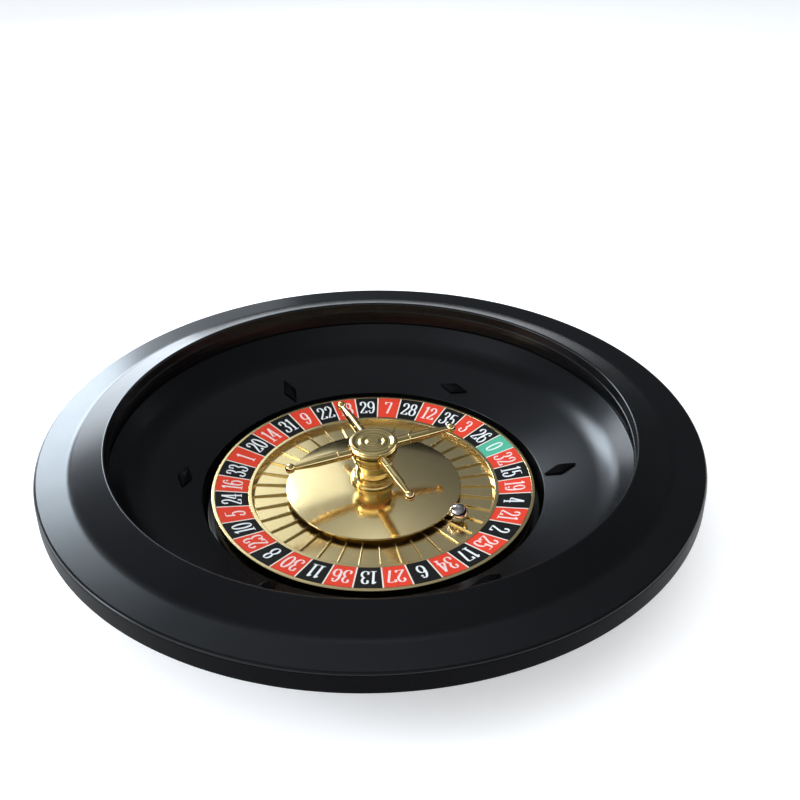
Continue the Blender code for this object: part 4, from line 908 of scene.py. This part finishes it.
column_outline = rounded([
    (BORE_R, DRUM_TOP_Z, 0.2), (0.96 * DRUM_R, DRUM_TOP_Z, 0.5), (DRUM_R, DRUM_TOP_Z - 0.9, 0.6),
    (DRUM_R, DRUM_Z + 8.1, 2.0), (0.94 * DRUM_R, DRUM_Z + 4.7, 2.5), (0.81 * DRUM_R, DRUM_Z + 1.3, 1.0),
    (NECK_R, DRUM_Z, 0.2), (NECK_R, DRUM_Z - 0.1, 0.1), (BEAD_R, BEAD_Z + 1.3, 0.5),
    (BEAD_R, BEAD_Z + 0.3, 0.5), (NECK_R, BEAD_Z, 0.2),
    (NECK_R - 0.3, (BEAD_Z + column_low[2]) / 2, 14.0), (NECK_R, column_low[2], 0.3),
    (BORE_R, column_low[2], 0.2),
])
piece("turret_drum", turned(column_outline, TURRET_STEPS), turret_gilt, "rotor", "gilt_turret",
      "turret_column")
cap_outline = [(0.0, CAP_TOP_Z - 0.25)] + rounded([
    (0.0, CAP_TOP_Z - 0.25, 0), (0.22 * CAP_R, CAP_TOP_Z - 0.25, 0.8), (0.3 * CAP_R, CAP_TOP_Z - 0.9, 0.4),
    (0.37 * CAP_R, CAP_TOP_Z - 1.0, 0.4), (0.44 * CAP_R, CAP_TOP_Z - 0.35, 0.6),
    (0.53 * CAP_R, CAP_TOP_Z - 0.35, 0.6), (0.6 * CAP_R, CAP_TOP_Z - 1.0, 0.6),
    (0.72 * CAP_R, CAP_TOP_Z - 1.0, 0.8), (0.84 * CAP_R, CAP_TOP_Z, 1.2),
    (0.95 * CAP_R, CAP_TOP_Z - 0.2, 1.2), (CAP_R, CAP_TOP_Z - 1.4, 1.0), (CAP_R, CAP_Z + 0.5, 0.4),
    (0.96 * CAP_R, CAP_Z, 0.3), (BORE_R, CAP_Z, 0.2), (BORE_R, CAP_Z + 1.2, 0.2), (0.0, CAP_Z + 1.2, 0),
]).tolist()[1:]
piece("turret_dish", turned(cap_outline, TURRET_STEPS), turret_gilt, "rotor", "gilt_turret", "turret_cap")

# %% [markdown]
# ## Spokes
#
# Four turned spokes stand out from the drum: a plain root, a groove, a barrel, a taper and a ball end. Each
# is an outline turned about its own axis, laid flat and turned to its place.

# %% Spokes
ARM_STEPS = 48
ARM_COUNT = 4
ARM_AZIMUTH = math.radians(22.4)
ARM_Z = DRUM_TOP_Z - 3.7
ARM_ROOT_X = DRUM_R + 0.3
ROOT_END = ARM_ROOT_X + 10.0
BARREL_START = ROOT_END + 0.8
TAPER_START = BARREL_START + 15.5
NECK_X = TAPER_START + 16.0
ROOT_R = 3.7
BARREL_R = 3.6
TIP_R = 3.6
ARM_NECK_R = 2.0
PEG_R = 2.4                   # of the peg in the drum
PEG_L = 6.0
GROOVE_IN_R = 3.1             # bottom of the groove before the barrel
TIP_X = NECK_X + math.sqrt(TIP_R ** 2 - ARM_NECK_R ** 2)
tip_angle = np.linspace(math.asin(ARM_NECK_R / TIP_R), math.pi, 22)
arm_outline = rounded([
    (0.0, DRUM_R - PEG_L, 0), (PEG_R, DRUM_R - PEG_L, 0.3), (PEG_R, ARM_ROOT_X, 0.1),
    (ROOT_R, ARM_ROOT_X, 0.4), (ROOT_R, ROOT_END, 0.4), (GROOVE_IN_R, ROOT_END + 0.4, 0.15),
    (BARREL_R, BARREL_START + 0.2, 0.4),
    (BARREL_R, TAPER_START, 2.0), (ARM_NECK_R, NECK_X, 0.8),
    *[(float(TIP_R * math.sin(a)), float(TIP_X - TIP_R * math.cos(a)), 0) for a in tip_angle[1:-1]],
    (0.0, TIP_X + TIP_R, 0),
])
arm_points, arm_faces = turned(arm_outline, ARM_STEPS)
arm_points = arm_points[:, [2, 0, 1]] + (0, 0, ARM_Z)
for i in range(ARM_COUNT):
    azimuth = ARM_AZIMUTH + i * FULL_TURN / ARM_COUNT
    piece(f"spoke_{i + 1}", (about_z(arm_points, azimuth), arm_faces), turret_gilt, "rotor", "gilt_turret",
          f"arm_{i + 1}")

# %% [markdown]
# ## Ball
#
# The steel ball is too wide for a pocket, so it rests on two separators beside the cone. It stays where it
# is packed. As the separators are drawn lower here, it lies between two of them, almost on the floor. Half
# a circle turned about a vertical axis makes it.

# %% Ball
ball_low, ball_high = box_of("ball")
ball_middle = (ball_low + ball_high) / 2
BALL_R = (ball_high[2] - ball_low[2]) / 2
half_circle = np.linspace(0, math.pi, 49)
ball_outline = np.column_stack([BALL_R * np.sin(half_circle), BALL_R * np.cos(half_circle)])
ball_outline[[0, -1], 0] = 0
ball_points, ball_faces = turned(ball_outline, 96)
piece("steel_ball", (ball_points + ball_middle, ball_faces), ball_chrome, "ball_body", "ball_chrome", "ball",
      crease=180)

# %% [markdown]
# ## Deflectors, feet and hidden pieces
#
# The six diamonds have the right facets already, only too sharp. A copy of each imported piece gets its
# triangles merged to faces and its edges rounded by a Bevel modifier, so each facet ends in a thin light
# line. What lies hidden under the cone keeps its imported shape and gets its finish.

# %% Deflectors
import bmesh

DEFLECTORS = 6
DEFLECTOR_ROUND = 0.35


def softened(node, name, width, finish, body, slot):
    """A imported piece's own shape with its edges rounded."""
    bm = bmesh.new()
    bm.from_mesh(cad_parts[node].data)
    bmesh.ops.remove_doubles(bm, verts=bm.verts, dist=0.01 * MM)
    bmesh.ops.dissolve_limit(bm, angle_limit=math.radians(1), verts=bm.verts, edges=bm.edges)
    points = np.array([v.co for v in bm.verts]) / MM
    faces = [[v.index for v in face.verts] for face in bm.faces]
    bm.free()
    obj = piece(name, (points, faces), finish, body, slot, node)
    bevel = obj.modifiers.new("rounded edges", "BEVEL")
    bevel.width = width * MM
    bevel.segments = 3
    bevel.limit_method = "ANGLE"
    bevel.angle_limit = math.radians(12)
    bevel.harden_normals = True
    return obj


for i in range(DEFLECTORS):
    softened(f"deflector_{i + 1}", f"diamond_{i + 1}", DEFLECTOR_ROUND, dull_abs, "bowl_body",
             "deflector_abs")

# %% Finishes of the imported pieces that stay
FINISH_OF = {"foot_": rubber, "spindle": zinc, "bearing_": zinc, "rim_screw_": zinc, "rotor_screw_": zinc,
             "ring_screw_": zinc, "turret_stud": zinc, "rotor_hub": hub_abs}
for node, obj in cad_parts.items():
    for start, finish in FINISH_OF.items():
        if node.startswith(start):
            obj.data.materials.clear()
            obj.data.materials.append(finish)

# %% [markdown]
# ## Floor and light
#
# The wheel lies on a plain pale floor, with a roll of white paper behind it for the views from the far
# side. Glossy black plastic shows little but reflections, so the lamps were placed by reading them back:
# each bright spot on a surface of known slope points to the light that it mirrors. A window behind the
# wheel on the left gives the bright sheen on the rim, the pale wall under it lights the rim's inner band
# and the top of the ball track, and a soft light on the left draws the sheen at the track's right. A wide
# soft lamp above fills in without a reflection of its own. The rest of the room is dim, so the plastic
# stays black.

# %% Floor
FLOOR_HALF = 4000.0
PAPER_PATCH_MM = 60.0


def shown(tree, shader, strength):
    """A white glow for camera, glossy and transmission rays alone, so that it doesn't light the object."""
    rays = add(tree, "LightPath")
    seen = calc(tree, "MAXIMUM", rays.outputs["Is Camera Ray"], rays.outputs["Is Glossy Ray"])
    seen = calc(tree, "MAXIMUM", seen, rays.outputs["Is Transmission Ray"])
    seen = calc(tree, "MULTIPLY", seen, strength)
    shader.inputs["Emission Color"].default_value = linear("#ffffff")
    tree.links.new(seen, shader.inputs["Emission Strength"])


def white_prop(name, finish_name, gloss, strength, points, faces):
    """A slightly mottled white surface around the wheel, from points in millimetres."""
    finish, tree, shader, place = new_finish(finish_name, Roughness=gloss)
    coloured(tree, shader, grain(tree, place, PAPER_PATCH_MM), "#f4f5f6", "#fafafa")
    shown(tree, shader, strength)
    mesh = bpy.data.meshes.new(name)
    mesh.from_pydata((np.asarray(points, float) * MM).tolist(), [], faces)
    mesh.materials.append(finish)
    obj = bpy.data.objects.new(name, mesh)
    bpy.context.scene.collection.objects.link(obj)
    print(f"{name}: {len(faces)} faces")
    return obj


floor_corners = [(x, y, 0) for x, y in ((-1, -1), (1, -1), (1, 1), (-1, 1))]
floor = white_prop("table_top", "white_table", 0.6, 0.45, np.array(floor_corners) * FLOOR_HALF,
                   [(0, 1, 2, 3)])

# %% Backdrop behind the wheel in the views from the far side
BACKDROP_R = 3900.0
BACKDROP_H = 1700.0
BACKDROP_ARC = (-205, 40)
BACKDROP_POINTS = 60
turn = np.radians(np.linspace(*BACKDROP_ARC, BACKDROP_POINTS))
foot = np.column_stack([np.cos(turn), np.sin(turn), np.zeros(BACKDROP_POINTS)]) * BACKDROP_R
panels = [(i, i + BACKDROP_POINTS, i + BACKDROP_POINTS + 1, i + 1) for i in range(BACKDROP_POINTS - 1)]
backdrop = white_prop("paper_roll", "white_paper_roll", 0.9, 0.8,
                      np.concatenate([foot, foot + (0, 0, BACKDROP_H)]), panels)

# %% Lamps
def toward(azimuth, elevation):
    """Unit vector toward a direction in degrees."""
    a, e = math.radians(azimuth), math.radians(elevation)
    return (math.cos(a) * math.cos(e), math.sin(a) * math.cos(e), math.sin(e))


def lamp(name, azimuth, elevation, distance, width, height, power, colour, mirrored=True):
    """A rectangular lamp that faces the wheel from a direction in degrees, at a distance in metres."""
    data = bpy.data.lights.new(name, "AREA")
    data.shape = "RECTANGLE"
    data.size = width
    data.size_y = height
    data.energy = power
    data.color = linear(colour)[:3]
    obj = bpy.data.objects.new(name, data)
    direction = Vector(toward(azimuth, elevation))
    obj.location = direction * distance
    obj.rotation_euler = direction.to_track_quat("Z", "Y").to_euler()
    obj.visible_camera = False
    obj.visible_glossy = mirrored
    bpy.context.scene.collection.objects.link(obj)
    print(f"lamp {name}: {power} W")


lamp("window", 120, 29, 2.0, 0.46, 0.64, 15, "#dcebf7")
lamp("pale_wall", 125, 9, 2.0, 1.15, 0.75, 15, "#dfe8f2")
lamp("curtain", 109, 30, 0.9, 0.3, 0.45, 0.42, "#dfe8f2")
lamp("left_softbox", 188, 26, 2.0, 0.5, 0.5, 13, "#e2ecf8")
lamp("left_wall", 168, 14, 2.0, 1.2, 0.6, 7, "#dfe8f2")
lamp("overhead_fill", 250, 70, 3.0, 3.0, 3.0, 62, "#ffffff", mirrored=False)

# %% Room: dim, with four soft glows
ROOM_LIGHT = 0.1
world = bpy.data.worlds.new("dim_room")
bpy.context.scene.world = world
world.use_nodes = True
world_tree = world.node_tree
world_tree.nodes.clear()
direction = add(world_tree, "TexCoord").outputs["Generated"]


def glow(azimuth, elevation, spread, peak):
    """Light that falls off with the angle t from a direction as peak * exp(-t / spread)."""
    cosine = add(world_tree, "VectorMath", {0: direction, 1: toward(azimuth, elevation)},
                 operation="DOT_PRODUCT").outputs["Value"]
    power = calc(world_tree, "MULTIPLY", calc(world_tree, "ARCCOSINE", cosine), -1 / math.radians(spread))
    return calc(world_tree, "MULTIPLY", calc(world_tree, "EXPONENT", power), peak)


# Each glow: azimuth, elevation, spread in degrees and peak
GLOWS = ((116, 28, 7.0, 3.1), (212, 32, 10.0, 4.0), (91, 60, 10.0, 1.1), (-90, 55, 25.0, 0.5))
light = ROOM_LIGHT
for place in GLOWS:
    light = calc(world_tree, "ADD", glow(*place), light)
room = add(world_tree, "Background", {"Color": linear("#dfe8f2"), "Strength": light})
add(world_tree, "OutputWorld", {"Surface": room.outputs[0]})
print("glows in the room:", len(GLOWS))

# %% [markdown]
# ## Camera
#
# The photograph looks down on the wheel at about 38 degrees from close by. Place, aim and lens come from
# fitting the wheel's ellipses in it.

# %% Camera
bpy.context.scene.view_settings.view_transform = "Standard"
CAMERA_PLACE = Vector((0.0, -0.5606, 0.4334))
CAMERA_AIM = Vector((0.02326, 0.11091, 0.0230))
camera_data = bpy.data.cameras.new("camera")
camera_data.lens = 42.155
camera = bpy.data.objects.new("camera", camera_data)
camera.location = CAMERA_PLACE
camera.rotation_euler = (CAMERA_AIM - CAMERA_PLACE).to_track_quat("-Z", "Y").to_euler()
bpy.context.scene.collection.objects.link(camera)
bpy.context.scene.camera = camera
print("camera lens:", camera_data.lens)
